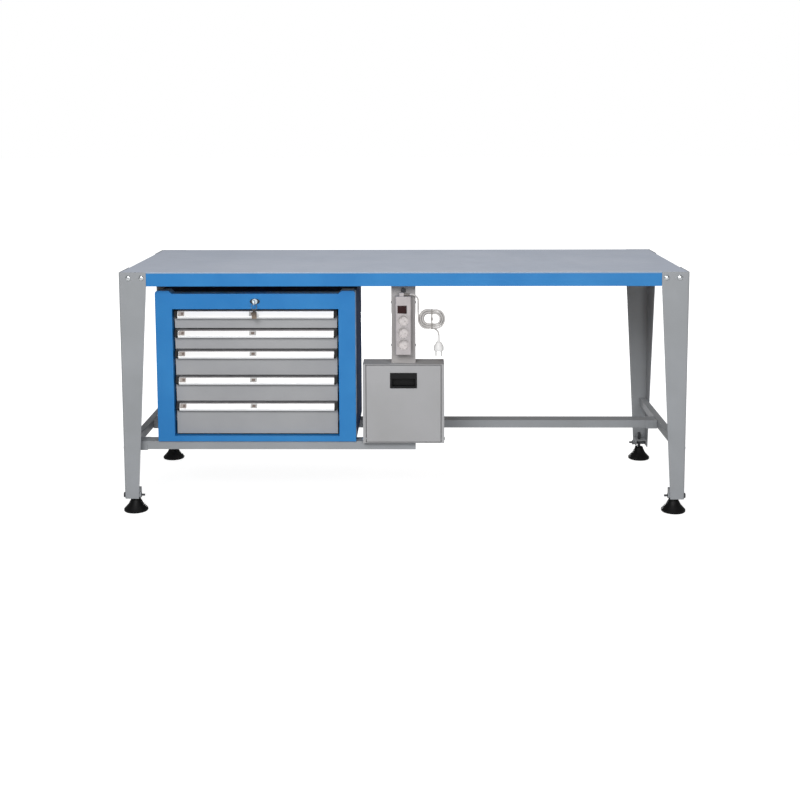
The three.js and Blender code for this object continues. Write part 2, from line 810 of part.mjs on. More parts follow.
function boxFlap() {
  const pan = block(-flapHalf, flapHalf, boxFrontY, boxFrontY + flapReturn, flapBottom, flapTop);
  const hollow = block(
    -flapHalf + flapSheet, flapHalf - flapSheet, boxFrontY + flapSheet, boxFrontY + flapReturn + cutOverrun,
    flapBottom + flapSheet, flapTop - flapSheet);
  const opening = block(
    -handleHalf, handleHalf, boxFrontY - cutOverrun, boxFrontY + flapSheet + cutOverrun,
    handleBottom, handleTop);
  const pinHoles = rod(pivotPin / 2 + seatGap, boxWidth, axisX, -boxHalf, pivotY, pivotZ);
  return cut(pan, hollow, opening, pinHoles);
}

// Handle: a moulded black cup set in the flap, with a flange outside and a ledge to pull on
function flapHandle() {
  const half = handleHalf - seatGap;
  const low = handleBottom + seatGap;
  const high = handleTop - seatGap;
  const flangeBack = boxFrontY - seatGap;
  const flangeFront = flangeBack - handleFlangeThickness;
  const cup = block(-half, half, flangeBack, boxFrontY + handleDepth, low, high);
  const flange = block(
    -handleHalf - handleFlange, handleHalf + handleFlange, flangeFront, flangeBack,
    handleBottom - handleFlange, handleTop + handleFlange);
  const well = block(
    -half + handleWall, half - handleWall, flangeFront - cutOverrun, boxFrontY + handleDepth - handleWall,
    low + handleWall, high - handleWall);
  const ledge = block(
    -half, half, flangeFront, flangeBack + handleWall, high - handleWall - handleGripDrop, high);
  return joined(cut(joined(cup, flange), well), ledge);
}

// Pocket: two cheeks shaped as sectors about the pivot, a floor and a low back, riveted inside the flap
const pocketHalf = flapHalf - flapSheet - pocketSideGap;
const pocketFrontY = boxFrontY + flapSheet + seatGap;
const lipBottom = boxTop - boxSheet - stopLipDrop;
const cheekRadius = lipBottom - pivotZ - flapGap;
const hookRadius = cheekRadius + stopHookReach + flapGap;
const stopLipY = boxFrontY + stopLipSetback;
const cheekRearAngle = Math.asin((boxBackY - boxSheet - pocketBackGap - pivotY) / hookRadius);
const hookFrontAngle = cheekRearAngle - pocketHookWidth / hookRadius;
const stopAngle = hookFrontAngle - Math.asin((stopLipY + boxSheet - pivotY) / hookRadius);
console.log(`the flap meets its stop at ${THREE.MathUtils.radToDeg(stopAngle).toFixed(1)} degrees`);

function flapPocket() {
  const cheek = new THREE.Shape();
  const bottom = flapBottom + flapSheet + seatGap;
  const backReach = pocketLowShare * boxHeight;
  const backY = pivotY + backReach * Math.sin(cheekRearAngle);
  const backTop = pivotZ + backReach * Math.cos(cheekRearAngle);
  const floorBack = (pivotY + backY) / 2;
  const toeY = floorBack - pocketToeShare * boxDepth;
  const heel = bottom + pocketHeelShare * boxHeight;
  cheek.moveTo(pocketFrontY, bottom);
  cheek.lineTo(toeY, bottom);
  cheek.lineTo(floorBack, heel);
  cheek.lineTo(
    pivotY + hookRadius * Math.sin(cheekRearAngle), pivotZ + hookRadius * Math.cos(cheekRearAngle));
  cheek.absarc(pivotY, pivotZ, hookRadius, Math.PI / 2 - cheekRearAngle, Math.PI / 2 - hookFrontAngle, false);
  const frontAngle = Math.asin((pocketFrontY - pivotY) / cheekRadius);
  cheek.absarc(pivotY, pivotZ, cheekRadius, Math.PI / 2 - hookFrontAngle, Math.PI / 2 - frontAngle, false);
  const cheekAt = (x) => prismX(cheek, x, x + pocketSheet, 4);
  const slope = polygon([
    [pocketFrontY, bottom], [toeY, bottom], [floorBack, heel], [backY, backTop],
    [backY - pocketSheet, backTop], [floorBack - pocketSheet, heel],
    [toeY - pocketSheet / 2, bottom + pocketSheet], [pocketFrontY, bottom + pocketSheet],
  ]);
  const back = prismX(slope, -pocketHalf, pocketHalf);
  const pinHole = rod(pivotPin / 2 + seatGap, boxWidth, axisX, -boxHalf, pivotY, pivotZ);
  return cut(joined(cheekAt(-pocketHalf), cheekAt(pocketHalf - pocketSheet), back), pinHole);
}

function flapPin(side) {
  const length = boxHalf + seatGap - pocketHalf + pocketSheet + pocketSideGap;
  const outward = new THREE.Vector3(side, 0, 0);
  return roundHeadScrew(
    pivotPin, length, 2 * pivotPin, pivotPin / 2, outward, side * (boxHalf + seatGap), pivotY, pivotZ);
}

add('box_shell', boxShell(), 'boxGrey', boxMiddle);
add('box_flap', boxFlap(), 'boxGrey', boxMiddle);
add('flap_handle', flapHandle(), 'black', boxMiddle);
add('flap_pocket', flapPocket(), 'boxGrey', boxMiddle);
add('flap_pin_left', flapPin(-1), 'zinc', boxMiddle);
add('flap_pin_right', flapPin(1), 'zinc', boxMiddle);

// Cabinet: a blue front frame folded from one sheet, whose corner posts rise above the top rail
function frameOutline(inset) {
  const left = cabinetLeft + inset;
  const right = cabinetRight - inset;
  const bottom = cabinetBottom + inset;
  const railLine = cabinetTop - inset;
  const postLine = cabinetTop + cornerPostRise - inset;
  const inner = cornerPostWidth - 2 * inset;
  const radius = cornerPostRadius;
  const shape = new THREE.Shape();
  shape.moveTo(left, bottom);
  shape.lineTo(right, bottom);
  shape.lineTo(right, postLine - radius);
  shape.absarc(right - radius, postLine - radius, radius, 0, Math.PI / 2);
  shape.lineTo(right - inner + cornerPostRise, postLine);
  shape.lineTo(right - inner, railLine);
  shape.lineTo(left + inner, railLine);
  shape.lineTo(left + inner - cornerPostRise, postLine);
  shape.lineTo(left + radius, postLine);
  shape.absarc(left + radius, postLine - radius, radius, Math.PI / 2, Math.PI);
  shape.lineTo(left, bottom);
  return shape;
}

function frameOpening(outset) {
  return rectangle(openingLeft - outset, openingRight + outset, openingBottom - outset, openingTop + outset);
}

const lockHeight = cabinetTop - lockBelowTop;

function cabinetFrame() {
  const face = frameOutline(0);
  face.holes.push(frameOpening(0));
  const hollow = frameOutline(cabinetSheet);
  hollow.holes.push(frameOpening(cabinetSheet));
  const back = cabinetFrontY + cornerPostDepth;
  const ring = prismY(face, cabinetFrontY, back);
  const core = prismY(hollow, cabinetFrontY + cabinetSheet, back + cutOverrun);
  const lockHole = rod(
    lockBarrel / 2 + seatGap, cabinetSheet + 2 * cutOverrun, axisY, cabinetMiddle, cabinetFrontY - cutOverrun,
    lockHeight, roundSides / 2);
  return cut(ring, core, lockHole);
}

function cabinetShell() {
  const outer = block(cabinetLeft, cabinetRight, shellFrontY, cabinetBackY, cabinetBottom, cabinetTop);
  const inside = block(
    cabinetLeft + cabinetSheet, cabinetRight - cabinetSheet,
    shellFrontY - cutOverrun, cabinetBackY - cabinetSheet,
    cabinetBottom + cabinetSheet, cabinetTop - cabinetSheet);
  return cut(outer, inside);
}

const uprightBackY = cabinetBackY - cabinetSheet - seatGap;
const uprightFrontY = uprightBackY - uprightDepth;

add('cabinet_frame', cabinetFrame(), 'blue');
add('cabinet_shell', cabinetShell(), 'blue');

// Drawers: their fronts share the opening's height in five steps
const pitchSum = drawerPitchShares.reduce((sum, share) => sum + share, 0);
const frontSpace = openingTop - openingBottom - 2 * drawerMargin + drawerGap;
const drawers = [];
let nextTop = openingTop - drawerMargin;
for (const share of drawerPitchShares) {
  const pitch = frontSpace * share / pitchSum;
  const top = nextTop;
  const bottom = nextTop - pitch + drawerGap;
  drawers.push({ top, bottom, trayTop: top - trayTopDrop, trayBottom: bottom + trayBottomRise });
  nextTop -= pitch;
}

const frontLeft = openingLeft + drawerSideGap;
const frontRight = openingRight - drawerSideGap;
const frontFaceY = cabinetFrontY + frontRecess;
const trayLeft = openingLeft + seatGap + railChannelWidth + runnerClearance;
const trayRight = openingRight - seatGap - railChannelWidth - runnerClearance;
const channelFrontY = frontFaceY + frontFold + channelBehindFold;
const channelBackY = uprightBackY - channelEndGap;
const trayBackY = channelBackY - trayBackGap;

function channelMiddle(drawer) {
  return (drawer.trayTop + drawer.trayBottom) / 2;
}

function drawerGeometry(drawer) {
  const sheet = drawerSheet;
  const front = block(frontLeft, frontRight, frontFaceY, frontFaceY + frontFold, drawer.bottom, drawer.top);
  const frontHollow = block(
    frontLeft + sheet, frontRight - sheet, frontFaceY + sheet, frontFaceY + frontFold + cutOverrun,
    drawer.bottom + sheet, drawer.top - sheet);
  const tray = block(
    trayLeft, trayRight, frontFaceY + sheet / 2, trayBackY, drawer.trayBottom, drawer.trayTop);
  const trayHollow = block(
    trayLeft + sheet, trayRight - sheet, frontFaceY + sheet, trayBackY - sheet,
    drawer.trayBottom + sheet, drawer.trayTop + cutOverrun);
  const barFront = channelFrontY + cutOverrun;
  const barHeight = railChannelHeight - 2 * railChannelSheet - seatGap - runnerTopPlay;
  const barBottom = channelMiddle(drawer) - railChannelHeight / 2 + railChannelSheet + seatGap;
  const barReach = railChannelWidth - railChannelSheet - runnerClearance;
  const bar = (x0, x1) => block(x0, x1, barFront, trayBackY, barBottom, barBottom + barHeight);
  const pan = cut(front, frontHollow);
  const box = cut(joined(tray,
    bar(trayLeft - runnerClearance - barReach, trayLeft + sheet / 2),
    bar(trayRight - sheet / 2, trayRight + runnerClearance + barReach)), trayHollow);
  return joined(pan, box);
}

// Handle: an extruded strip along the front's top edge whose sloping face ends in a finger lip, with a
// closed cap at each end whose outer foot is cut off
function gripCap(side, drawer) {
  const back = frontFaceY - seatGap;
  const front = back - gripReach;
  const low = drawer.top - gripHeight;
  const edge = side < 0 ? frontLeft : frontRight;
  const inner = edge - side * (gripInset + gripWall);
  const cap = prismX(polygon([
    [back, drawer.top], [back, low], [front, low], [front, low + gripLip], [back - gripWall, drawer.top],
  ]), Math.min(edge, inner), Math.max(edge, inner));
  const beyond = side * cutOverrun;
  const foot = prismY(polygon([
    [edge + beyond, low + gripCapCut + cutOverrun], [edge + beyond, low - cutOverrun],
    [edge - side * gripCapCut - beyond, low - cutOverrun],
  ]), front - cutOverrun, back + cutOverrun);
  return cut(cap, foot);
}

function handleGeometry(drawer) {
  const back = frontFaceY - seatGap;
  const reach = back - gripReach;
  const low = drawer.top - gripHeight;
  const outline = polygon([
    [back, drawer.top], [back, drawer.top - gripWall], [reach + gripWall, low + gripLip],
    [reach + gripWall, low], [reach, low], [reach, low + gripLip], [back - gripWall, drawer.top],
  ]);
  const plate = polygon([
    [back - gripWall, drawer.top], [back, drawer.top], [back, low], [back - gripWall / 2, low],
    [back - gripWall / 2, drawer.top - gripWall],
  ]);
  const x0 = frontLeft + gripInset;
  const x1 = frontRight - gripInset;
  return joined(prismX(outline, x0, x1), prismX(plate, x0, x1), gripCap(-1, drawer), gripCap(1, drawer));
}

// Runner rack: a folded upright in the back corner with one open channel welded on for each drawer
function runnerRack(side) {
  const wallX = side < 0 ? cabinetLeft + cabinetSheet + seatGap : cabinetRight - cabinetSheet - seatGap;
  const faceX = (side < 0 ? openingLeft : openingRight) - side * seatGap;
  const x0 = Math.min(wallX, faceX);
  const x1 = Math.max(wallX, faceX);
  const upright = prismZ(polygon([
    [x0, uprightFrontY], [x1, uprightFrontY], [x1, uprightBackY], [x1 - uprightSheet, uprightBackY],
    [x1 - uprightSheet, uprightFrontY + uprightSheet], [x0 + uprightSheet, uprightFrontY + uprightSheet],
    [x0 + uprightSheet, uprightBackY], [x0, uprightBackY],
  ]), cabinetBottom + cabinetSheet + seatGap, cabinetTop - cabinetSheet - seatGap);
  const channels = drawers.map((drawer) => {
    const low = channelMiddle(drawer) - railChannelHeight / 2;
    const high = low + railChannelHeight;
    const inner = faceX - side * railChannelSheet;
    const open = faceX - side * railChannelWidth;
    const points = [
      [faceX, low], [open, low], [open, low + railChannelSheet], [inner, low + railChannelSheet],
      [inner, high - railChannelSheet], [open, high - railChannelSheet], [open, high], [faceX, high],
    ];
    const profile = polygon(side < 0 ? points : points.reverse());
    return prismY(profile, channelFrontY, channelBackY);
  });
  return joined(upright, ...channels);
}

add('runner_rack_left', runnerRack(-1), 'zinc');
add('runner_rack_right', runnerRack(1), 'zinc');
drawers.forEach((drawer, index) => {
  add(`drawer_${index + 1}`, drawerGeometry(drawer), 'drawerGrey');
  add(`drawer_handle_${index + 1}`, handleGeometry(drawer), 'aluminium');
});

// Lock: an oval plate and barrel in the top rail, a plug with its cam, and the key with ring and leather fob
const lockFaceY = cabinetFrontY - seatGap - lockPlateThickness - lockBarrelRise;
const plugBackY = lockFaceY + lockBarrelRise + lockPlateThickness + lockBarrelLength;

function lockBody() {
  const half = lockPlateWidth / 2;
  const tall = lockPlateHeight / 2;
  const oval = new THREE.Shape();
  oval.absellipse(cabinetMiddle, lockHeight, half, tall, 0, 2 * Math.PI, false, 0);
  const plateBack = cabinetFrontY - seatGap;
  const plate = prismY(oval, plateBack - lockPlateThickness, plateBack, roundSides / 2);
  const barrel = rod(
    lockBarrel / 2, plugBackY - lockFaceY, axisY, cabinetMiddle, lockFaceY, lockHeight, roundSides / 2);
  const bore = rod(
    lockPlug / 2 + seatGap, plugBackY - lockFaceY + 2 * cutOverrun, axisY,
    cabinetMiddle, lockFaceY - cutOverrun, lockHeight, roundSides / 2);
  return cut(joined(plate, barrel), bore);
}

function lockPlugGeometry() {
  const plug = rod(
    lockPlug / 2, plugBackY + seatGap + camThickness - lockFaceY, axisY, cabinetMiddle, lockFaceY, lockHeight,
    roundSides / 2);
  const camFront = plugBackY + seatGap;
  const cam = block(
    cabinetMiddle - camWidth / 2, cabinetMiddle + camReach, camFront, camFront + camThickness,
    lockHeight - camWidth / 2, lockHeight + camWidth / 2);
  const slotHalf = keyThickness / 2 + seatGap;
  const slot = block(
    cabinetMiddle - slotHalf, cabinetMiddle + slotHalf, lockFaceY - cutOverrun, plugBackY - keySlotStop,
    lockHeight - keyBlade / 2 - seatGap, lockHeight + keyBlade / 2 + seatGap);
  return cut(joined(plug, cam), slot);
}

const keyShoulderY = lockFaceY - seatGap;
const bowMiddleY = keyShoulderY - keyNeck - keyBow / 2;
const eyeBottomZ = lockHeight - keyEyeDrop - keyHole / 2;
const ringMiddleZ = eyeBottomZ + seatGap + keyRingWire - keyRingRadius;

function keyGeometry() {
  const half = keyThickness / 2;
  const blade = block(
    cabinetMiddle - half, cabinetMiddle + half, bowMiddleY, plugBackY - lockBarrelLength / 2,
    lockHeight - keyBlade / 2, lockHeight + keyBlade / 2);
  const bow = rod(
    keyBow / 2, keyThickness, axisX, cabinetMiddle - half, bowMiddleY, lockHeight, roundSides / 2);
  const eye = rod(
    keyHole / 2, keyThickness + 2 * cutOverrun, axisX, cabinetMiddle - half - cutOverrun, bowMiddleY,
    lockHeight - keyEyeDrop, smallSides);
  return cut(joined(blade, bow), eye);
}

function keyRing() {
  const ring = new THREE.TorusGeometry(keyRingRadius, keyRingWire, 6, roundSides / 2);
  return ring.rotateX(Math.PI / 2).translate(cabinetMiddle, bowMiddleY, ringMiddleZ);
}

// Fob: a strap whose narrow neck is folded over the ring, with its two wide tails pressed together below
function fobGeometry() {
  const eyeMiddle = ringMiddleZ - keyRingRadius;
  const inner = keyRingWire + fobPlay;
  const outer = inner + fobStrap;
  const shoulder = eyeMiddle - 2 * outer;
  const neck = new THREE.Shape();
  neck.absarc(bowMiddleY, eyeMiddle, outer, 0, Math.PI);
  neck.lineTo(bowMiddleY - fobStrap, shoulder);
  neck.lineTo(bowMiddleY + fobStrap, shoulder);
  const eye = new THREE.Path();
  eye.absarc(bowMiddleY, eyeMiddle, inner, 0, 2 * Math.PI, false);
  neck.holes.push(eye);
  const half = fobWidth / 2;
  const neckHalf = fobNeck / 2;
  const tails = polygon([-1, 1].flatMap((side) => {
    const edge = [
      [cabinetMiddle + side * neckHalf, shoulder + fobStrap],
      [cabinetMiddle + side * half, shoulder - neckHalf],
      [cabinetMiddle + side * half, eyeMiddle - fobDrop],
    ];
    return side < 0 ? edge : edge.reverse();
  }));
  return joined(
    prismX(neck, cabinetMiddle - neckHalf, cabinetMiddle + neckHalf, 6),
    prismY(tails, bowMiddleY - fobStrap, bowMiddleY + fobStrap));
}

add('lock_body', lockBody(), 'zinc');
add('lock_plug', lockPlugGeometry(), 'zinc');
add('lock_key', keyGeometry(), 'brass');
add('key_ring', keyRing(), 'zinc');
add('key_fob', fobGeometry(), 'leather');

// Socket strip: an extruded housing on the post with three socket wells and a rocker switch
const topSocketZ = stripTop - topSocketDrop;
const socketHeights = Array.from({ length: socketCount }, (_, i) => topSocketZ - i * socketPitch);
const rockerMiddleZ = stripTop - rockerDrop;
const entryLeft = entryOffset - entryWidth / 2;
const entryRight = entryOffset + entryWidth / 2;
const leadY = stripFrontY + stripDepth / 2;
const leadTopZ = stripTop + entryHeight / 2;

function stripHousing() {
  const half = stripWidth / 2;
  const back = stripFrontY + stripDepth;
  const shape = roundedRectangle(-half, half, stripFrontY, back, stripCorner);
  const body = prismZ(shape, stripBottom, stripTop, 4);
  const entry = block(
    entryLeft, entryRight, leadY - entryDepth / 2, leadY + entryDepth / 2,
    stripTop - cutOverrun, stripTop + entryHeight);
  const wellLength = socketLength + seatGap + cutOverrun;
  const wells = socketHeights.map((z) => rod(
    socketDiameter / 2 + seatGap, wellLength, axisY, 0, stripFrontY - cutOverrun, z, roundSides));
  const window = block(
    rockerOffset - rockerWidth / 2 - rockerClearance, rockerOffset + rockerWidth / 2 + rockerClearance,
    stripFrontY - cutOverrun, stripFrontY + rockerWellDepth,
    rockerMiddleZ - rockerHeight / 2 - seatGap, rockerMiddleZ + rockerHeight / 2 + seatGap);
  return cut(joined(body, entry), ...wells, window);
}

// Socket: a round cup with two pin holes, turned by an eighth, and two earth clips at its sides
function socketAt(z) {
  const front = stripFrontY - socketRise;
  const back = stripFrontY + socketLength;
  const cup = rod(socketDiameter / 2, back - front, axisY, 0, front, 0, roundSides);
  const wellRadius = socketDiameter / 2 - socketWall;
  const well = rod(wellRadius, socketWellDepth + cutOverrun, axisY, 0, front - cutOverrun, 0, roundSides);
  const floor = front + socketWellDepth;
  const pins = [-1, 1].map((side) => rod(
    pinHole / 2, pinHoleDepth + cutOverrun, axisY, side * pinSpacing / 2, floor - cutOverrun, 0));
  const clips = [-1, 1].map((side) => {
    const outer = side * (wellRadius + socketWall / 2);
    const inner = side * (wellRadius - earthClipThickness);
    return block(
      -earthClipWidth / 2, earthClipWidth / 2, floor - earthClipReach, floor + pinHoleDepth / 2,
      Math.min(outer, inner), Math.max(outer, inner));
  });
  const whole = joined(cut(cup, well, ...pins), ...clips);
  return whole.rotateY(THREE.MathUtils.degToRad(socketTurn)).translate(0, 0, z);
}

// Rocker: a shallow V in plan, resting on its off side
function rockerGeometry() {
  const half = rockerWidth / 2;
  const proud = stripFrontY - rockerRise;
  const valley = rockerRise / 2;
  const back = proud + rockerThickness;
  const shape = polygon([
    [-half, proud], [0, proud + valley], [half, proud], [half - rockerClearance, back],
    [-half + rockerClearance, back],
  ]);
  const geometry = prismZ(shape, -rockerHeight / 2, rockerHeight / 2);
  geometry.translate(0, -back, 0).rotateZ(THREE.MathUtils.degToRad(-rockerSwing / 2));
  return geometry.translate(rockerOffset, back, rockerMiddleZ);
}

// Strain relief: a tapered sleeve with rings, from the housing's entry to the lead
function reliefProfile(root, tip, length) {
  return [[0, 0], [root, 0], [root, length * reliefCollarShare], [tip, length], [0, length]];
}

const reliefStart = entryRight + seatGap;
const reliefSleeve = turned(reliefProfile(reliefRoot / 2, reliefTip / 2, reliefLength), roundSides / 2);
const relief = pointed(reliefSleeve, axisX, reliefStart, leadY, leadTopZ);

add('strip_housing', stripHousing(), 'white', boxMiddle);
socketHeights.forEach((height, index) => add(`socket_${index + 1}`, socketAt(height), 'white', boxMiddle));
add('strip_rocker', rockerGeometry(), 'rocker', boxMiddle);
add('strip_cord_relief', relief, 'cordGrey', boxMiddle);

// Lead: from the relief over and down to the hank
const hankMiddleZ = stripTop - hankBelowStripTop;
const leadStartX = reliefStart + reliefLength + seatGap;
const leadDropX = leadStartX + leadDiameter + leadBend;
const hankTopZ = hankMiddleZ + leadDiameter;

function bend(centre, from, to, steps) {
  const points = [];
  for (let i = 0; i <= steps; i += 1) {
    const angle = from + (to - from) * i / steps;
    points.push(new THREE.Vector3(
      centre.x + leadBend * Math.cos(angle), centre.y, centre.z + leadBend * Math.sin(angle)));
  }
  return points;
}

function leadPoints() {
  const turnCentre = new THREE.Vector3(leadStartX + leadDiameter, leadY, leadTopZ - leadBend);
  return [
    new THREE.Vector3(leadStartX, leadY, leadTopZ),
    ...bend(turnCentre, Math.PI / 2, 0, leadBendSteps),
    new THREE.Vector3(leadDropX, leadY, (leadTopZ - leadBend + hankTopZ) / 2),
    new THREE.Vector3(leadDropX, leadY, hankTopZ + seatGap),
  ];
}

// Tube along a chain of points, as rings joined by faces; each end is a flat cap square to the path
function tubeAlong(points, radius, sides) {
  const count = points.length;
  const positions = [];
  const index = [];
  const tangentAt = (i) => {
    const before = points[Math.max(i - 1, 0)];
    const after = points[Math.min(i + 1, count - 1)];
    return after.clone().sub(before).normalize();
  };
  let normal = new THREE.Vector3(0, 1, 0);
  points.forEach((point, i) => {
    const tangent = tangentAt(i);
    normal = normal.clone().addScaledVector(tangent, -normal.dot(tangent)).normalize();
    const side = tangent.clone().cross(normal);
    for (let k = 0; k < sides; k += 1) {
      const angle = 2 * Math.PI * k / sides;
      const place = point.clone()
        .addScaledVector(normal, radius * Math.cos(angle))
        .addScaledVector(side, radius * Math.sin(angle));
      positions.push(place.x, place.y, place.z);
    }
  });
  for (let i = 0; i + 1 < count; i += 1) {
    for (let k = 0; k < sides; k += 1) {
      const a = i * sides + k;
      const b = i * sides + (k + 1) % sides;
      index.push(a, b, a + sides, b, b + sides, a + sides);
    }
  }
  const start = positions.length / 3;
  positions.push(points[0].x, points[0].y, points[0].z);
  positions.push(points[count - 1].x, points[count - 1].y, points[count - 1].z);
  for (let k = 0; k < sides; k += 1) {
    const next = (k + 1) % sides;
    index.push(start, next, k);
    index.push(start + 1, (count - 1) * sides + k, (count - 1) * sides + next);
  }
  const geometry = new THREE.BufferGeometry();
  geometry.setAttribute('position', new THREE.Float32BufferAttribute(positions, 3));
  geometry.setIndex(index);
  return geometry;
}

// Hank: loops that spiral in through the front layer and out through the rear one, drawn in at the waist
const hankTurns = turnsIn + turnsOver + turnsOut;
const hankOuter = hankFold + turnsIn * hankStep;
const hankMiddleX = leadDropX + hankOuter + hankRun / 2;

function waistAt(x) {
  return Math.abs(x) < hankWaistSpan ? 0.5 + 0.5 * Math.cos(Math.PI * x / hankWaistSpan) : 0;
}

// A loop is a run, a fold, a run and a fold: it starts at the left fold's side and goes down
function hankPoint(turn) {
  const past = Math.max(turn - turnsIn - turnsOver, 0);
  const radius = hankFold + (Math.max(turnsIn - turn, 0) + past) * hankStep;
  const climb = THREE.MathUtils.clamp((turn - turnsIn) / turnsOver, 0, 1);
  const half = hankRun / 2;
  const quarter = radius * Math.PI / 2;
  const distance = (turn - Math.floor(turn)) * (4 * quarter + 2 * hankRun);
  let x = 0;
  let z = 0;
  if (distance < quarter) {
    x = -half - radius * Math.cos(distance / radius);
    z = -radius * Math.sin(distance / radius);
  } else if (distance < quarter + hankRun) {
    x = -half + distance - quarter;
    z = -radius;
  } else if (distance < 3 * quarter + hankRun) {
    const angle = (distance - quarter - hankRun) / radius;
    x = half + radius * Math.sin(angle);
    z = -radius * Math.cos(angle);
  } else if (distance < 3 * quarter + 2 * hankRun) {
    x = half - (distance - 3 * quarter - hankRun);
    z = radius;
  } else {
    const angle = (distance - 3 * quarter - 2 * hankRun) / radius;
    x = -half - radius * Math.sin(angle);
    z = radius * Math.cos(angle);
  }
  const drawn = z * (1 - hankWaistDraw * waistAt(x) / radius);
  return new THREE.Vector3(hankMiddleX + x, leadY + climb * hankLayerPitch, hankMiddleZ + drawn);
}

function headingAtEnd(points) {
  return points[points.length - 1].clone().sub(points[points.length - 2]).normalize();
}

function onward(points, distance) {
  return points[points.length - 1].clone().addScaledVector(headingAtEnd(points), distance);
}

function hankPoints() {
  const steps = Math.round(hankTurns * hankStepsPerLoop);
  const points = [new THREE.Vector3(leadDropX, leadY, hankTopZ)];
  for (let i = 0; i <= steps; i += 1) {
    points.push(hankPoint(hankTurns * i / steps));
  }
  points.push(onward(points, leadDiameter));
  return points;
}

function pathLength(points) {
  return points.slice(1).reduce((sum, point, i) => sum + point.distanceTo(points[i]), 0);
}

// Least gap between places of the hank that aren't neighbours along it
function leastSelfGap(points) {
  const parts = selfGapParts;
  const fine = [];
  let gone = 0;
  for (let i = 0; i + 1 < points.length; i += 1) {
    const step = points[i].distanceTo(points[i + 1]);
    for (let k = 0; k < parts; k += 1) {
      fine.push({ place: points[i].clone().lerp(points[i + 1], k / parts), gone: gone + step * k / parts });
    }
    gone += step;
  }
  let least = Infinity;
  fine.forEach((one, i) => {
    for (const other of fine.slice(i + 1)) {
      if (other.gone - one.gone > hankNeighbourReach) {
        least = Math.min(least, one.place.distanceTo(other.place));
      }
    }
  });
  return least - leadDiameter;
}

const hankPath = hankPoints();
const leadPath = leadPoints();
console.log(`least gap of the hank to itself ${leastSelfGap(hankPath).toFixed(2)} mm`);

// Tail: on from the hank's end, under its waist, round and down to the plug
const tailHeading = headingAtEnd(hankPath);
const tailStart = onward(hankPath, seatGap);
const tailCentre = tailStart.clone().addScaledVector(tailHeading, leadDiameter)
  .add(new THREE.Vector3(tailHeading.z, 0, -tailHeading.x).multiplyScalar(leadBend));
const tailPath = [
  tailStart,
  ...bend(tailCentre, Math.atan2(tailHeading.z, tailHeading.x) + Math.PI / 2, 0, tailBendSteps),
  new THREE.Vector3(tailCentre.x + leadBend, tailCentre.y, tailCentre.z - leadDiameter),
];
const tailEnd = tailPath[tailPath.length - 1];
const leadLength = pathLength(leadPath) + pathLength(hankPath) + pathLength(tailPath);
console.log(`lead length ${leadLength.toFixed(0)} mm`);

// Plug: a round moulded body with its own relief, pointing down, and two pins
function plugGeometry() {
  const tip = reliefTip / 2;
  const root = reliefRoot / 2;
  const shoulder = plugShoulder / 2;
  const body = plugBody / 2;
  const whole = plugReliefLength + plugLength;
  const profile = [
    [0, 0], [tip, 0], [root, plugReliefLength], [shoulder, plugReliefLength + plugShoulderLength],
    [body, plugReliefLength + plugTaperLength], [body, whole - plugEdge], [body - plugEdge, whole],
    [0, whole],
  ];
  const down = axisZ.clone().negate();
  const shell = pointed(turned(profile, roundSides / 2), down, tailEnd.x, tailEnd.y, tailEnd.z - seatGap);
  const pins = [-1, 1].map((side) => rod(
    plugPin / 2, plugPinLength + plugPin, down, tailEnd.x + side * pinSpacing / 2, tailEnd.y,
    tailEnd.z - seatGap - whole + plugPin));
  return joined(shell, ...pins);
}

// Tie: a flat band round the hank's waist with its lock head in front
function tieGeometry() {
  const near = [];
  for (let turn = 0; turn < hankTurns; turn += 1 / tieSamplesPerLoop) {
    near.push(hankPoint(turn));
  }
  for (let share = 0; share < 1; share += 1 / hankStepsPerLoop) {
    near.push(tailPath[0].clone().lerp(tailPath[1], share), tailPath[1].clone().lerp(tailPath[2], share));
  }
  const heights = near.filter((point) => Math.abs(point.x - hankMiddleX) < tieWidth / 2 + seatGap)
    .map((point) => point.z);
  const margin = leadDiameter / 2 + seatGap + tieBand;
  const high = Math.max(...heights) + margin;
  const low = Math.min(...heights) - margin;
  const front = leadY - margin;
  const back = leadY + hankLayerPitch + margin;
  const band = roundedRectangle(front, back, low, high, tieCorner);
  const hole = roundedRectangle(
    front + tieBand, back - tieBand, low + tieBand, high - tieBand, tieCorner - tieBand);
  band.holes.push(hole);
  const strap = prismX(band, hankMiddleX - tieWidth / 2, hankMiddleX + tieWidth / 2, 3);
  const head = block(
    hankMiddleX - tieHeadWidth / 2, hankMiddleX + tieHeadWidth / 2,
    front - tieHeadThickness + tieBand, front + tieBand / 2,
    hankMiddleZ - tieHeadHeight / 2, hankMiddleZ + tieHeadHeight / 2);
  return joined(strap, head);
}

const leadRadius = leadDiameter / 2;
add('power_lead', tubeAlong(leadPath, leadRadius, leadSides), 'cordGrey', boxMiddle);
add('lead_hank', tubeAlong(hankPath, leadRadius, hankSides), 'cordGrey', boxMiddle);
add('plug_tail', tubeAlong(tailPath, leadRadius, leadSides), 'cordGrey', boxMiddle);
add('lead_plug', plugGeometry(), 'white', boxMiddle);
add('hank_tie', tieGeometry(), 'white', boxMiddle);

export default workbench;
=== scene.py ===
import math
import bmesh
import bpy
from mathutils import Matrix, Vector


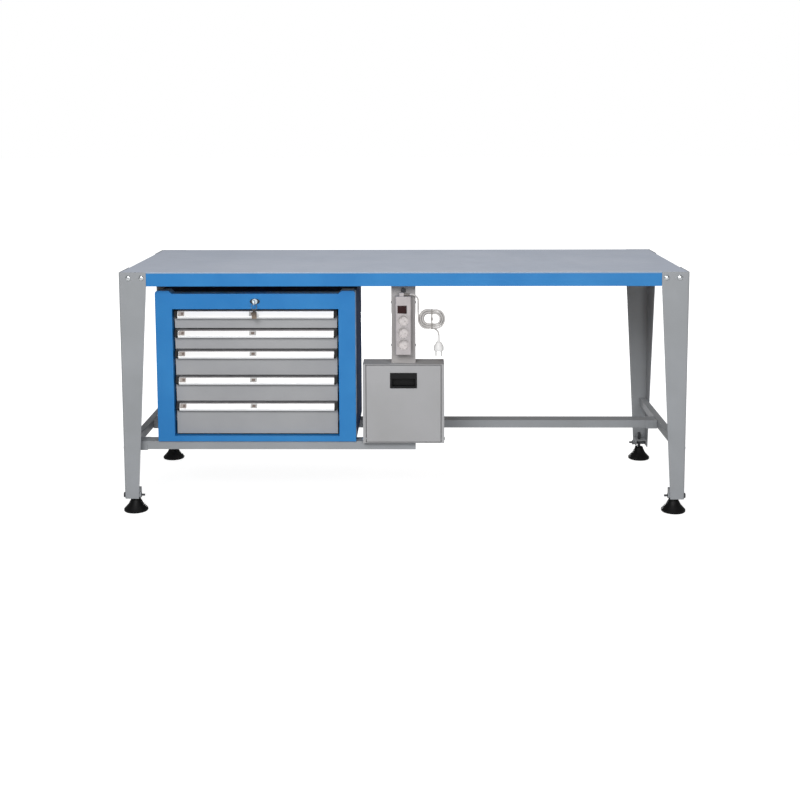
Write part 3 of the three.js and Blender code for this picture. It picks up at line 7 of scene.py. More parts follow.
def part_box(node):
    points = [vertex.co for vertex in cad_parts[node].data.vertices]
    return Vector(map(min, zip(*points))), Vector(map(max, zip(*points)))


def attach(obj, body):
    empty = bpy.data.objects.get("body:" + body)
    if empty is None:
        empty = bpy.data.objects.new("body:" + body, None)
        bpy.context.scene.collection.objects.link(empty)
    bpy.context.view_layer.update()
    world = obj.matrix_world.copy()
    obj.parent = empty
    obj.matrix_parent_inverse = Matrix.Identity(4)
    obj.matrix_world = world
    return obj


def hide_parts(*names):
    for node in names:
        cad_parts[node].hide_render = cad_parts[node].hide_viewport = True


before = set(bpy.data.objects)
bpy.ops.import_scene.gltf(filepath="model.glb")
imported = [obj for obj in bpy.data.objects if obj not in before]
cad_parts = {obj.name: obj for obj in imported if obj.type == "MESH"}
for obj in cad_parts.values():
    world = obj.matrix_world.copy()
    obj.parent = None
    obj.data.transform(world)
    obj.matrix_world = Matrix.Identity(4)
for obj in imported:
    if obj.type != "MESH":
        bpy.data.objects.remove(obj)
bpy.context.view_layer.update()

# Camera: fitted to the photograph's edges. It stands above the worktop's height and looks down a little,
# and its lens is shifted, because the picture's middle lies below the lens's axis.
camera_place = Vector((0.0511, -4.5916, 1.3995))
camera_down = 0.11651
camera_left = 0.01467
camera_roll = -0.00306
focal_pixels = 1215.1
picture_side = 800
axis_row = 262
sensor = 36.0
camera_data = bpy.data.cameras.new("camera")
camera_data.sensor_width = sensor
camera_data.lens = focal_pixels / picture_side * sensor
camera_data.shift_y = (axis_row - picture_side / 2) / picture_side
camera = bpy.data.objects.new("camera", camera_data)
bpy.context.scene.collection.objects.link(camera)
camera.matrix_world = (
    Matrix.Translation(camera_place)
    @ Matrix.Rotation(camera_left, 4, "Z")
    @ Matrix.Rotation(math.pi / 2 - camera_down, 4, "X")
    @ Matrix.Rotation(camera_roll, 4, "Z")
)
bpy.context.scene.camera = camera


# Mains lead: a round PVC-jacketed cord, put away as a tied hank beside the post. It leaves the strip's
# relief, turns down, winds in through the front layer and out through the rear one, and ends in its plug.
def linear(hex_colour):
    # The sRGB curve, undone
    values = [int(hex_colour[i : i + 2], 16) / 255 for i in (1, 3, 5)]
    return tuple(v / 12.92 if v <= 0.04045 else ((v + 0.055) / 1.055) ** 2.4 for v in values) + (1.0,)


def add_node(material, kind, settings=None, links=None, values=None):
    node = material.node_tree.nodes.new(kind)
    for name, value in (settings or {}).items():
        setattr(node, name, value)
    for name, value in (values or {}).items():
        node.inputs[name].default_value = value
    for name, source in (links or {}).items():
        material.node_tree.links.new(source, node.inputs[name])
    return node


def new_material(name, roughness=0.5, metallic=0.0, colour=None):
    material = bpy.data.materials.new(name)
    material.use_nodes = True
    shader = material.node_tree.nodes["Principled BSDF"]
    shader.inputs["Roughness"].default_value = roughness
    shader.inputs["Metallic"].default_value = metallic
    if colour:
        shader.inputs["Base Color"].default_value = linear(colour)
    return material, shader


def join(material, source, shader, name):
    material.node_tree.links.new(source, shader.inputs[name])


def mottle(material, grain, detail=3.0):
    # Noise whose features are about as wide as grain, given in metres
    place = add_node(material, "ShaderNodeTexCoord")
    return add_node(
        material, "ShaderNodeTexNoise", links={"Vector": place.outputs["Object"]},
        values={"Scale": 1 / grain, "Detail": detail, "Roughness": 0.55},
    ).outputs["Fac"]


def tinted(material, factor, dark, light, low=0.35, high=0.65):
    ramp = add_node(material, "ShaderNodeValToRGB", links={"Fac": factor})
    ramp.color_ramp.elements[0].position = low
    ramp.color_ramp.elements[1].position = high
    ramp.color_ramp.elements[0].color = linear(dark)
    ramp.color_ramp.elements[1].color = linear(light)
    return ramp.outputs["Color"]


def pick(item):
    # Selects this piece alone
    for other in bpy.context.selected_objects:
        other.select_set(False)
    item.select_set(True)
    bpy.context.view_layer.objects.active = item


def rounded(item, width, segments=2):
    sharp_angle = 35
    bevel = item.modifiers.new("edge", "BEVEL")
    bevel.width = width
    bevel.segments = segments
    bevel.limit_method = "ANGLE"
    bevel.angle_limit = math.radians(sharp_angle)
    bevel.use_clamp_overlap = True
    pick(item)
    bpy.ops.object.modifier_apply(modifier="edge")
    return item


def copy_of(node, name, edge=0.0006, segments=2):
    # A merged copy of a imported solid, its flat faces made whole again and its sharp edges eased
    same_place, flat_angle = 0.00001, 0.5
    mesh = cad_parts[node].data.copy()
    item = bpy.data.objects.new(name, mesh)
    bpy.context.scene.collection.objects.link(item)
    pick(item)
    bpy.ops.object.mode_set(mode="EDIT")
    bpy.ops.mesh.select_all(action="SELECT")
    bpy.ops.mesh.remove_doubles(threshold=same_place)
    bpy.ops.mesh.dissolve_limited(angle_limit=math.radians(flat_angle))
    bpy.ops.mesh.select_all(action="DESELECT")
    bpy.ops.object.mode_set(mode="OBJECT")
    if edge:
        rounded(item, edge, segments)
    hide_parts(node)
    return item


def paint_where(item, index, test):
    for face in item.data.polygons:
        if test(face.center):
            face.material_index = index


def settle(item, body, slot, *materials, smooth=30):
    # Puts the piece's place into its mesh, sets its finish and lets it ride
    pick(item)
    bpy.ops.object.transform_apply(location=True, rotation=True, scale=True)
    bpy.ops.object.shade_smooth_by_angle(angle=math.radians(smooth))
    flat = item.modifiers.new("flat", "WEIGHTED_NORMAL")
    flat.keep_sharp = True
    bpy.ops.object.modifier_apply(modifier="flat")
    item.data.materials.clear()
    for material in materials:
        item.data.materials.append(material)
    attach(item, body)


lead_diameter = 0.006
lead_bend = 0.024
lead_start = Vector((0.0226, -0.3433, 0.787))
lead_drop_x = lead_start.x + lead_diameter + lead_bend
lead_drop_end = 0.7345
bend_steps = 10
hank_middle_z = 0.700
hank_fold = 0.0195
hank_step = 0.0075
hank_layer = 0.0072
hank_run = 0.020
inner_draw, outer_draw = 0.0010, 0.0042
waist_span = 0.034
turns_in, turns_over, turns_out = 2.5, 0.5, 2.2
hank_outer = hank_fold + turns_in * hank_step
hank_middle_x = lead_drop_x + hank_outer + hank_run / 2


def hank_point(turn):
    # A loop starts at the left fold's side and goes down: a quarter, a run, the right fold, a run, a quarter
    past = max(turn - turns_in - turns_over, 0)
    radius = hank_fold + (max(turns_in - turn, 0) + past) * hank_step
    climb = min(max((turn - turns_in) / turns_over, 0), 1)
    half, quarter = hank_run / 2, radius * math.pi / 2
    distance = (turn - math.floor(turn)) * (4 * quarter + 2 * hank_run)
    if distance < quarter:
        angle = distance / radius
        x, z = -half - radius * math.cos(angle), -radius * math.sin(angle)
    elif distance < quarter + hank_run:
        x, z = -half + distance - quarter, -radius
    elif distance < 3 * quarter + hank_run:
        angle = (distance - quarter - hank_run) / radius
        x, z = half + radius * math.sin(angle), -radius * math.cos(angle)
    elif distance < 3 * quarter + 2 * hank_run:
        x, z = half - (distance - 3 * quarter - hank_run), radius
    else:
        angle = (distance - 3 * quarter - 2 * hank_run) / radius
        x, z = -half - radius * math.sin(angle), radius * math.cos(angle)
    waist = 0.5 + 0.5 * math.cos(math.pi * x / waist_span) if abs(x) < waist_span else 0
    draw = inner_draw + (outer_draw - inner_draw) * (radius - hank_fold) / (hank_outer - hank_fold)
    drawn = z * (1 - draw * waist / radius)
    return Vector((hank_middle_x + x, lead_start.y + climb * hank_layer, hank_middle_z + drawn))


def lead_arc(centre, start):
    # A bend from the angle start to the side, in the upright plane
    angles = (start * (1 - i / bend_steps) for i in range(bend_steps + 1))
    return [centre + lead_bend * Vector((math.cos(angle), 0, math.sin(angle))) for angle in angles]


turn_centre = lead_start + Vector((lead_diameter, 0, -lead_bend))
route = [lead_start.copy()] + lead_arc(turn_centre, math.pi / 2)
route.append(Vector((lead_drop_x, lead_start.y, lead_drop_end)))
route.append(Vector((lead_drop_x, lead_start.y, hank_middle_z + lead_diameter)))
hank_turns = turns_in + turns_over + turns_out
hank_steps = 200
route += [hank_point(hank_turns * i / hank_steps) for i in range(hank_steps + 1)]
heading_turns = 1 / 24
heading = (hank_point(hank_turns) - hank_point(hank_turns - heading_turns)).normalized()
tail_start = route[-1] + heading * 2 * lead_diameter
tail_centre = tail_start + lead_bend * Vector((heading.z, 0, -heading.x))
tail = lead_arc(tail_centre, math.atan2(heading.z, heading.x) + math.pi / 2)
tail.append(Vector((tail_centre.x + lead_bend, tail_centre.y, tail_centre.z - lead_diameter)))
plug_low, plug_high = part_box("lead_plug")
plug_gap = 0.0003
lead_end = Vector(((plug_low[0] + plug_high[0]) / 2, tail[-1].y, plug_high[2] + plug_gap))
missed = lead_end - tail[-1]
route += [point + missed * index / (len(tail) - 1) for index, point in enumerate(tail)]
lead_curve = bpy.data.curves.new("mains_lead", "CURVE")
lead_curve.dimensions = "3D"
lead_curve.bevel_depth = lead_diameter / 2
lead_curve.bevel_resolution = 3
lead_curve.use_fill_caps = True
spline = lead_curve.splines.new("POLY")
spline.points.add(len(route) - 1)
for point, place in zip(spline.points, route):
    point.co = (*place, 1)
spline.use_smooth = True
mains_lead = bpy.data.objects.new("mains_lead", lead_curve)
bpy.context.scene.collection.objects.link(mains_lead)
cord_pvc, cord_shader = new_material("soft_pvc_jacket", roughness=0.42)
# Flexible PVC, extruded: smooth and slightly greasy, a little darker where it has been handled
cord_tint = tinted(cord_pvc, mottle(cord_pvc, 0.02), "#b9b6b4", "#cdcac8")
join(cord_pvc, cord_tint, cord_shader, "Base Color")
cord_shader.inputs["Subsurface Weight"].default_value = 0.05
cord_shader.inputs["Subsurface Radius"].default_value = (0.002, 0.0018, 0.0016)
lead_curve.materials.append(cord_pvc)
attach(mains_lead, "root")
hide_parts("power_lead", "lead_hank", "plug_tail")

sleeve_grey, sleeve_shader = new_material("grey_cord_sleeve", roughness=0.5)
# Softer PVC sleeve, greyed by handling
sleeve_tint = tinted(sleeve_grey, mottle(sleeve_grey, 0.008), "#6f6a67", "#827c79")
join(sleeve_grey, sleeve_tint, sleeve_shader, "Base Color")
sleeve = copy_of("strip_cord_relief", "cord_sleeve", 0.0003)
settle(sleeve, "root", "cord_pvc", sleeve_grey)
plug_white, plug_shader = new_material("white_moulded_plug", roughness=0.4)
# White PVC moulded round the pins, with a faint mottle
plug_tint = tinted(plug_white, mottle(plug_white, 0.01), "#e6e5e4", "#f0efee")
join(plug_white, plug_tint, plug_shader, "Base Color")
pin_nickel = new_material("nickel_plated_pin", roughness=0.3, metallic=1.0, colour="#cfcfcc")[0]
# Turned brass, nickel-plated: bright and smooth
pin_length = 0.019
plug = copy_of("lead_plug", "moulded_plug", 0.0004)
settle(plug, "root", "strip_white", plug_white, pin_nickel)
paint_where(plug, 1, lambda place: place.z < plug_low[2] + pin_length)
tie_nylon, tie_shader = new_material("grey_nylon_tie", roughness=0.45)
# Moulded polyamide, slightly translucent and greyed by age
tie_tint = tinted(tie_nylon, mottle(tie_nylon, 0.005), "#8d8986", "#a09c99")
join(tie_nylon, tie_tint, tie_shader, "Base Color")
# The band's runs lie further out than the solid's, by the slack that the hank's easier bends need
tie = copy_of("hank_tie", "cable_tie", 0.0003)
tie_head, tie_slack = 0.010, 0.0033
for vert in tie.data.vertices:
    if abs(vert.co.z - hank_middle_z) > tie_head:
        vert.co.z += math.copysign(tie_slack, vert.co.z - hank_middle_z)
settle(tie, "root", "strip_white", tie_nylon)


# Studio: white paper that keeps only a faint contact shadow, a large soft lamp from high in front on the
# left, one overhead, a weaker one from the right, a low one behind for the back, and a dim sky, so that what
# lies under the top goes dark.
def stage_floor():
    # Diffuse grey paper that adds just enough glow for the camera to be white
    floor_side = 80
    bpy.ops.mesh.primitive_plane_add(size=floor_side, location=(0, 0, 0))
    floor = bpy.context.object
    floor.name = "floor"
    material, shader = new_material("white_paper", roughness=0.9, colour="#aeaeae")
    seen = add_node(material, "ShaderNodeLightPath")
    mirrored_share = 0.4
    mirrored = add_node(
        material, "ShaderNodeMath", {"operation": "MULTIPLY"},
        links={0: seen.outputs["Is Glossy Ray"]}, values={1: mirrored_share},
    )
    rays = add_node(
        material, "ShaderNodeMath", {"operation": "MAXIMUM"},
        links={0: seen.outputs["Is Camera Ray"], 1: mirrored.outputs["Value"]},
    )
    place = add_node(material, "ShaderNodeTexCoord")
    away = add_node(
        material, "ShaderNodeVectorMath", {"operation": "LENGTH"}, links={0: place.outputs["Object"]}
    )
    near_glow, far_glow = 0.86, 1.1
    near_edge, far_edge = 1.3, 2.6
    level = add_node(
        material, "ShaderNodeMapRange", links={"Value": away.outputs["Value"]},
        values={"From Min": near_edge, "From Max": far_edge, "To Min": near_glow, "To Max": far_glow},
    )
    strength = add_node(
        material, "ShaderNodeMath", {"operation": "MULTIPLY"},
        links={0: rays.outputs["Value"], 1: level.outputs["Result"]},
    )
    glow = add_node(material, "ShaderNodeEmission", links={"Strength": strength.outputs["Value"]})
    both = add_node(
        material, "ShaderNodeAddShader", links={0: shader.outputs["BSDF"], 1: glow.outputs["Emission"]}
    )
    join(material, both.outputs["Shader"], material.node_tree.nodes["Material Output"], "Surface")
    floor.data.materials.append(material)


def soft_lamp(name, place, aim, size, power):
    data = bpy.data.lights.new(name, "AREA")
    data.shape = "DISK"
    data.size = size
    data.energy = power
    lamp = bpy.data.objects.new(name, data)
    bpy.context.scene.collection.objects.link(lamp)
    lamp.location = place
    lamp.rotation_euler = (Vector(aim) - Vector(place)).to_track_quat("-Z", "Y").to_euler()


stage_floor()
soft_lamp("key_lamp", (-0.9, -3.9, 2.7), (0.0, -0.2, 0.55), 1.8, 98)
soft_lamp("top_lamp", (0.2, 0.5, 4.2), (0, 0.1, 0.8), 2.4, 68)
soft_lamp("back_lamp", (-0.5, 4.2, 0.22), (-0.1, 0.4, 0.5), 0.4, 30)
soft_lamp("fill_lamp", (1.35, -4.3, 1.9), (0.3, 0, 0.5), 1.8, 46)
world = bpy.data.worlds.new("studio")
bpy.context.scene.world = world
world.use_nodes = True
background = world.node_tree.nodes["Background"]
path = add_node(world, "ShaderNodeLightPath")
direct = add_node(
    world, "ShaderNodeMath", {"operation": "MAXIMUM"},
    links={0: path.outputs["Is Camera Ray"], 1: path.outputs["Is Transmission Ray"]},
)
sky_light, sky_seen = 0.26, 1.0
level = add_node(
    world, "ShaderNodeMapRange", links={"Value": direct.outputs["Value"]},
    values={"To Min": sky_light, "To Max": sky_seen},
)
background.inputs["Color"].default_value = (1, 1, 1, 1)
world.node_tree.links.new(level.outputs["Result"], background.inputs["Strength"])
bpy.context.scene.view_settings.view_transform = "Standard"


# Worktop: a grey sheet glued to a plywood board, carried by a welded and powder-coated blue frame with a
# folded lip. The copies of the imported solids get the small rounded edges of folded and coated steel.
def bumped(material, height, depth, strength):
    return add_node(
        material, "ShaderNodeBump", links={"Height": height}, values={"Distance": depth, "Strength": strength}
    ).outputs["Normal"]


def ranged(material, factor, low, high):
    # Spreads a noise, whose values mostly lie between these two, over low to high
    usual_low, usual_high = 0.3, 0.7
    return add_node(
        material, "ShaderNodeMapRange", links={"Value": factor},
        values={"From Min": usual_low, "From Max": usual_high, "To Min": low, "To Max": high},
    ).outputs["Result"]


def powder_coat(name, dark, light, roughness=0.42, gloss=0.35):
    # Polyester powder coat, sprayed and baked: even colour with a fine orange peel, drawn at 3 mm to show
    cloud, sheen_patch, peel, peel_depth = 0.25, 0.06, 0.003, 0.0002
    material, shader = new_material(name)
    join(material, tinted(material, mottle(material, cloud), dark, light), shader, "Base Color")
    uneven = mottle(material, sheen_patch)
    join(material, ranged(material, uneven, roughness - 0.05, roughness + 0.08), shader, "Roughness")
    join(material, bumped(material, mottle(material, peel, 1.0), peel_depth, 0.35), shader, "Normal")
    shader.inputs["Specular IOR Level"].default_value = gloss
    return material


frame_blue = powder_coat("blue_powder_coat", "#277abd", "#3285c6", 0.36)

top_sheet, top_shader = new_material("matt_grey_top_sheet")
# Matt vinyl sheet, rolled: a cool grey with faint cloudiness and a soft, slightly scuffed sheen
sheet_cloud, scuff, sheet_grain, sheet_grain_depth = 0.3, 0.05, 0.004, 0.0002
sheet_tint = tinted(top_sheet, mottle(top_sheet, sheet_cloud, 4.0), "#a2a9b6", "#a9afbb")
join(top_sheet, sheet_tint, top_shader, "Base Color")
join(top_sheet, ranged(top_sheet, mottle(top_sheet, scuff), 0.42, 0.6), top_shader, "Roughness")
sheet_bump = bumped(top_sheet, mottle(top_sheet, sheet_grain, 2.0), sheet_grain_depth, 0.3)
join(top_sheet, sheet_bump, top_shader, "Normal")
sheet_edge = new_material("blue_grey_sheet_edge", roughness=0.5, colour="#7c9dbd")[0]
# The sheet's turned-down edge faces, given a blue-grey between the top's grey and the rim's blue
sheet = copy_of("worktop_surface", "top_sheet", 0)
settle(sheet, "root", "top_sheet", top_sheet, sheet_edge)
edge_slope = 0.5
for face in sheet.data.polygons:
    if abs(face.normal.z) < edge_slope:
        face.material_index = 1
settle(copy_of("worktop_frame", "worktop_rim_and_ribs", 0.0008), "root", "frame_blue", frame_blue)

plywood, ply_shader = new_material("birch_plywood", roughness=0.7)
# Rotary-cut birch: pale, with long soft grain along the board
ply_place = add_node(plywood, "ShaderNodeTexCoord")
ply_stretch = add_node(
    plywood, "ShaderNodeMapping", links={"Vector": ply_place.outputs["Object"]},
    values={"Scale": (2.0, 30.0, 60.0)},
)
ply_grain = add_node(
    plywood, "ShaderNodeTexNoise", links={"Vector": ply_stretch.outputs["Vector"]},
    values={"Scale": 1.5, "Detail": 6.0, "Distortion": 0.6},
)
join(plywood, tinted(plywood, ply_grain.outputs["Fac"], "#a9814f", "#cda877"), ply_shader, "Base Color")
settle(copy_of("worktop_board", "plywood_board", 0), "root", "plywood", plywood)

# Legs: 3 mm sheet folded along the outer corner and tapered to the foot, powder-coated light grey. Two
# bright zinc-plated coach screws hold each plate to the worktop.
leg_grey = powder_coat("light_grey_powder_coat", "#999c9f", "#a1a4a8")
bright_zinc, zinc_shader = new_material("bright_zinc_plate", metallic=1.0)
# Zinc-plated steel, passivated clear: a cool silver, slightly cloudy
zinc_tint = tinted(bright_zinc, mottle(bright_zinc, 0.006), "#b4b8bb", "#dfe2e4")
join(bright_zinc, zinc_tint, zinc_shader, "Base Color")
join(bright_zinc, ranged(bright_zinc, mottle(bright_zinc, 0.004), 0.2, 0.36), zinc_shader, "Roughness")

half_length, half_depth = 1.0, 0.375
plate_skin, plate_inside, screw_zone_low = 0.0001, 0.0035, 0.83
coach_height, coach_radius, coach_rise, coach_seat = 0.8497, 0.010, 0.0055, 0.0003
coach_front_insets, coach_side_insets = (0.034, 0.080), (0.060, 0.116)
corners = ("front_left", "front_right", "rear_left", "rear_right")


def beyond_plates(place):
    # True for the screws, which pass through the plates
    outside = abs(place.x) > half_length + plate_skin or abs(place.y) > half_depth + plate_skin
    within = abs(place.x) < half_length - plate_inside and abs(place.y) < half_depth - plate_inside
    return outside or (within and place.z > screw_zone_low)


def domes(name, radius, rise, seats):
    # Round screw heads: rings of points that close at the crown, each head turned to face its own way
    crown_steps, round_steps = 8, 24
    points, faces = [], []
    for place, direction in seats:
        turn = Matrix.Translation(place) @ Vector(direction).to_track_quat("Z", "Y").to_matrix().to_4x4()
        first, crown = len(points), len(points) + crown_steps * round_steps
        for ring in range(crown_steps):
            lift = math.pi / 2 * ring / crown_steps
            out, up = radius * math.cos(lift), rise * math.sin(lift)
            ring_start = first + ring * round_steps
            for part in range(round_steps):
                around = 2 * math.pi * part / round_steps
                points.append(turn @ Vector((out * math.cos(around), out * math.sin(around), up)))
                here, beside = ring_start + part, ring_start + (part + 1) % round_steps
                closing = ring == crown_steps - 1
                above = [crown] if closing else [beside + round_steps, here + round_steps]
                faces.append([here, beside] + above)
        points.append(turn @ Vector((0, 0, rise)))
    mesh = bpy.data.meshes.new(name)
    mesh.from_pydata(points, [], faces)
    item = bpy.data.objects.new(name, mesh)
    bpy.context.scene.collection.objects.link(item)
    return item


for corner in corners:
    leg = copy_of("leg_" + corner, "folded_leg_" + corner, 0.0005, 1)
    settle(leg, "root", "leg_grey", leg_grey, bright_zinc)
    paint_where(leg, 1, beyond_plates)
    side_x = -1 if corner.endswith("left") else 1
    side_y = -1 if corner.startswith("front") else 1
    seats = [
        ((side_x * (half_length - inset), side_y * (half_depth + coach_seat), coach_height), (0, side_y, 0))
        for inset in coach_front_insets
    ]
    seats += [
        ((side_x * (half_length + coach_seat), side_y * (half_depth - inset), coach_height), (side_x, 0, 0))
        for inset in coach_side_insets
    ]
    heads = domes("coach_screw_heads_" + corner, coach_radius, coach_rise - coach_seat, seats)
    settle(heads, "root", "zinc", bright_zinc, smooth=60)

# Foot brackets: a bent plate clamped in the leg by a cross bolt, with a weld nut for the foot's stem. The
# plate is powder-coated like the leg, and the bolt and its nut are blackened.
black_oxide, oxide_shader = new_material("black_oxide_steel", roughness=0.45, metallic=0.6)
# Steel blackened in a hot salt bath: dark grey with a slightly oily, uneven sheen
oxide_tint = tinted(black_oxide, mottle(black_oxide, 0.008), "#3a3b3e", "#4c4d50")
join(black_oxide, oxide_tint, oxide_shader, "Base Color")
bracket_inner_x, bracket_outer_x = 0.9465, half_length + plate_skin
for corner in corners:
    bracket = copy_of("foot_bracket_" + corner, "foot_clamp_" + corner, 0.0004, 1)
    settle(bracket, "root", "zinc", leg_grey, black_oxide)
    paint_where(bracket, 1, lambda place: not bracket_inner_x <= abs(place.x) <= bracket_outer_x)

# Levelling feet: black polyamide pads moulded on a blackened stem, whose thread runs in the weld nut of the
# foot's bracket.
foot_plastic, foot_shader = new_material("moulded_black_polyamide")
# Glass-filled polyamide, injection-moulded: near black with a fine spark-eroded grain
foot_tint = tinted(foot_plastic, mottle(foot_plastic, 0.03), "#060607", "#0c0c0d")
join(foot_plastic, foot_tint, foot_shader, "Base Color")
foot_shader.inputs["Specular IOR Level"].default_value = 0.2
join(foot_plastic, ranged(foot_plastic, mottle(foot_plastic, 0.01), 0.4, 0.6), foot_shader, "Roughness")
foot_grain, foot_grain_depth = 0.0012, 0.0001
foot_bump = bumped(foot_plastic, mottle(foot_plastic, foot_grain, 1.0), foot_grain_depth, 0.5)
join(foot_plastic, foot_bump, foot_shader, "Normal")
stem_start = 0.0501
for corner in corners:
    foot = copy_of("foot_" + corner, "levelling_foot_" + corner, 0)
    settle(foot, "foot_" + corner, "foot_plastic", foot_plastic, black_oxide)
    paint_where(foot, 1, lambda place: place.z > stem_start)

# Lower frame: rectangular steel tubes, powder-coated like the legs. The side rails are bolted inside the
# legs and carry folded saddles, in which the centre and front rails rest.
frame_pieces = {
    "side_stretcher_left": "left_side_rail",
    "side_stretcher_right": "right_side_rail",
    "centre_stretcher": "centre_rail",
    "front_rail": "front_rail_tube",
    "saddle_centre_left": "left_rail_saddle",
    "saddle_centre_right": "right_rail_saddle",
    "saddle_front_left": "front_rail_saddle",
}
for node, name in frame_pieces.items():
    rail = copy_of(node, name, 0.0012)
    settle(rail, "root", "leg_grey", leg_grey, bright_zinc)
    if node.startswith("side_"):
        paint_where(rail, 1, lambda place: abs(place.x) > half_length + plate_skin)

# Post: a folded steel channel, open behind and powder-coated a warm grey. Its foot plate is bolted to the
# box's top, and an angle in its head is bolted to it and to a rib of the worktop.
post_grey = powder_coat("warm_post_powder_coat", "#a29f9f", "#aba8a7")
post = copy_of("post", "channel_post", 0.0009)
settle(post, "root", "leg_grey", post_grey, bright_zinc)
post_half_width = 0.0431
paint_where(post, 1, lambda place: abs(place.x) > post_half_width)
head_bracket = copy_of("post_head_bracket", "post_angle", 0.0005)
settle(head_bracket, "root", "leg_grey", post_grey, black_oxide)
post_front_y = -0.3231
paint_where(head_bracket, 1, lambda place: place.y < post_front_y)

# Box: a folded and powder-coated steel shell. Its front is a pan that tilts out on two pins at its foot,
# with a pocket riveted inside it and a moulded black cup to pull it by.
box_grey = powder_coat("pale_grey_powder_coat", "#a6a6a7", "#adadaf")
grip_plastic, grip_shader = new_material("satin_black_abs", roughness=0.5)
# Black ABS, moulded and left satin, with a faint flow pattern
grip_tint = tinted(grip_plastic, mottle(grip_plastic, 0.02), "#060607", "#0d0d0f")
join(grip_plastic, grip_tint, grip_shader, "Base Color")
grip_shader.inputs["Specular IOR Level"].default_value = 0.25
settle(copy_of("box_shell", "tilt_box_shell", 0.0018, 3), "root", "box_grey", box_grey)
settle(copy_of("box_flap", "tilt_box_front", 0.0018, 3), "flap", "box_grey", box_grey)
settle(copy_of("flap_pocket", "tilt_box_pocket", 0.0004, 1), "flap", "box_grey", box_grey)
settle(copy_of("flap_handle", "cup_handle", 0.001), "flap", "grip_plastic", grip_plastic)
for side in ("left", "right"):
    settle(copy_of("flap_pin_" + side, "pivot_rivet_" + side, 0), "root", "zinc", bright_zinc)

# Cabinet: a front frame folded from one sheet, with corner posts that rise above its top rail, and a folded
# shell behind it, powder-coated blue; the shell's dark navy is painted shade for its shadowed sides.
# Zinc-plated racks inside guide the drawers.
settle(copy_of("cabinet_frame", "cabinet_front_frame", 0.0015, 2), "root", "frame_blue", frame_blue)
# Painted shade: the shell's blue darkened to navy, as its sides lie in shadow
shell_blue_painted_shade = powder_coat("blue_coat_with_painted_shade", "#1a3560", "#21406f", 0.7, 0.06)
settle(copy_of("cabinet_shell", "cabinet_carcass", 0.0012), "root", "frame_blue", shell_blue_painted_shade)
for side in ("left", "right"):
    rack = copy_of("runner_rack_" + side, "runner_rack_sheet_" + side, 0.0004, 1)
    settle(rack, "root", "zinc", bright_zinc)

# Drawers: five trays of folded and welded sheet, powder-coated grey, each with a deep front pan. Bars at
# their sides run in the cabinet's racks.
drawer_grey = powder_coat("warm_grey_powder_coat", "#9fa0a3", "#a8a9ab")
for number in range(1, 6):
    drawer = copy_of(f"drawer_{number}", f"drawer_tray_{number}", 0.0008)
    settle(drawer, f"drawer_{number}", "drawer_grey", drawer_grey)

# Handles: a pale anodised extrusion along the front's top edge, with closed black caps at its ends. A white
# label strip with plain tabs lies under a clear cover on its slope.
anodised, anodised_shader = new_material("pale_anodised_aluminium", metallic=1.0)
# Extruded aluminium, etched and anodised: soft lengthwise drag lines, light silver
drag_place = add_node(anodised, "ShaderNodeTexCoord")
drag_stretch = add_node(
    anodised, "ShaderNodeMapping", links={"Vector": drag_place.outputs["Object"]},
    values={"Scale": (2, 400, 400)},
)
drag = add_node(
    anodised, "ShaderNodeTexNoise", links={"Vector": drag_stretch.outputs["Vector"]}, values={"Scale": 2.0}
)
join(anodised, tinted(anodised, drag.outputs["Fac"], "#d6d8da", "#eff0f1"), anodised_shader, "Base Color")
join(anodised, ranged(anodised, drag.outputs["Fac"], 0.4, 0.55), anodised_shader, "Roughness")
label_card, label_shader = new_material("white_label_card", roughness=0.35, colour="#f4f3f2")
# Paper strip behind clear PVC: white, glossy on top
label_shader.inputs["Coat Weight"].default_value = 0.4
label_shader.inputs["Coat Roughness"].default_value = 0.15
handle_top_shade, handle_top_shade_shader = new_material("handle_top_painted_shade", roughness=0.6)
# Painted shade: a dark grey band along the extrusion's top, standing for the shadow in the gap under the
# drawer above, with a faint mottle
handle_top_shade_tint = tinted(handle_top_shade, mottle(handle_top_shade, 0.02), "#4a474a", "#5c595b")
join(handle_top_shade, handle_top_shade_tint, handle_top_shade_shader, "Base Color")
plain_tab, tab_shader = new_material("grey_marker_tab", roughness=0.5)
# Plain coloured card under the cover: light grey, a little uneven
plain_tint = tinted(plain_tab, mottle(plain_tab, 0.006), "#a5a3a1", "#bab8b6")
join(plain_tab, plain_tint, tab_shader, "Base Color")
brown_tab, brown_shader = new_material("brown_marker_tab", roughness=0.5)
# Plain coloured card under the cover: a brownish grey
brown_tint = tinted(brown_tab, mottle(brown_tab, 0.006), "#978d86", "#aaa19b")
join(brown_tab, brown_tint, brown_shader, "Base Color")
dark_tab = new_material("dark_marker_tab", roughness=0.5, colour="#6a5a51")[0]
# The darker window in each tab, behind the same cover
cap_inner_left, cap_inner_right = -0.806, -0.249
grip_middle = (cap_inner_left + cap_inner_right) / 2
# Depth of the painted shade band along each handle's top
shade_band_depth = 0.005
slope_run, slope_fall, slope_start = 0.012, 0.023, 0.003
slope_length = math.hypot(slope_run, slope_fall)
slope_turn = -math.atan2(slope_run, slope_fall)
card_thickness, card_start, card_side_gap, card_foot_gap = 0.0006, 0.0058, 0.001, 0.0012
card_width = cap_inner_right - cap_inner_left - 2 * card_side_gap
card_end = slope_length - card_foot_gap
card_edge, tab_edge = 0.0002, 0.0003
# Each tab: name, middle, width, start and end down the slope, thickness, finish
tabs = [
    ("centre_tab", grip_middle - 0.011, 0.024, 0.0068, 0.0232, 0.0010, plain_tab),
    ("centre_window", grip_middle - 0.011, 0.012, 0.0104, 0.0190, 0.0014, dark_tab),
    ("end_tab", cap_inner_left + 0.0125, 0.023, 0.0066, 0.0236, 0.0010, brown_tab),
    ("end_window", cap_inner_left + 0.0165, 0.009, 0.0100, 0.0190, 0.0014, dark_tab),
]


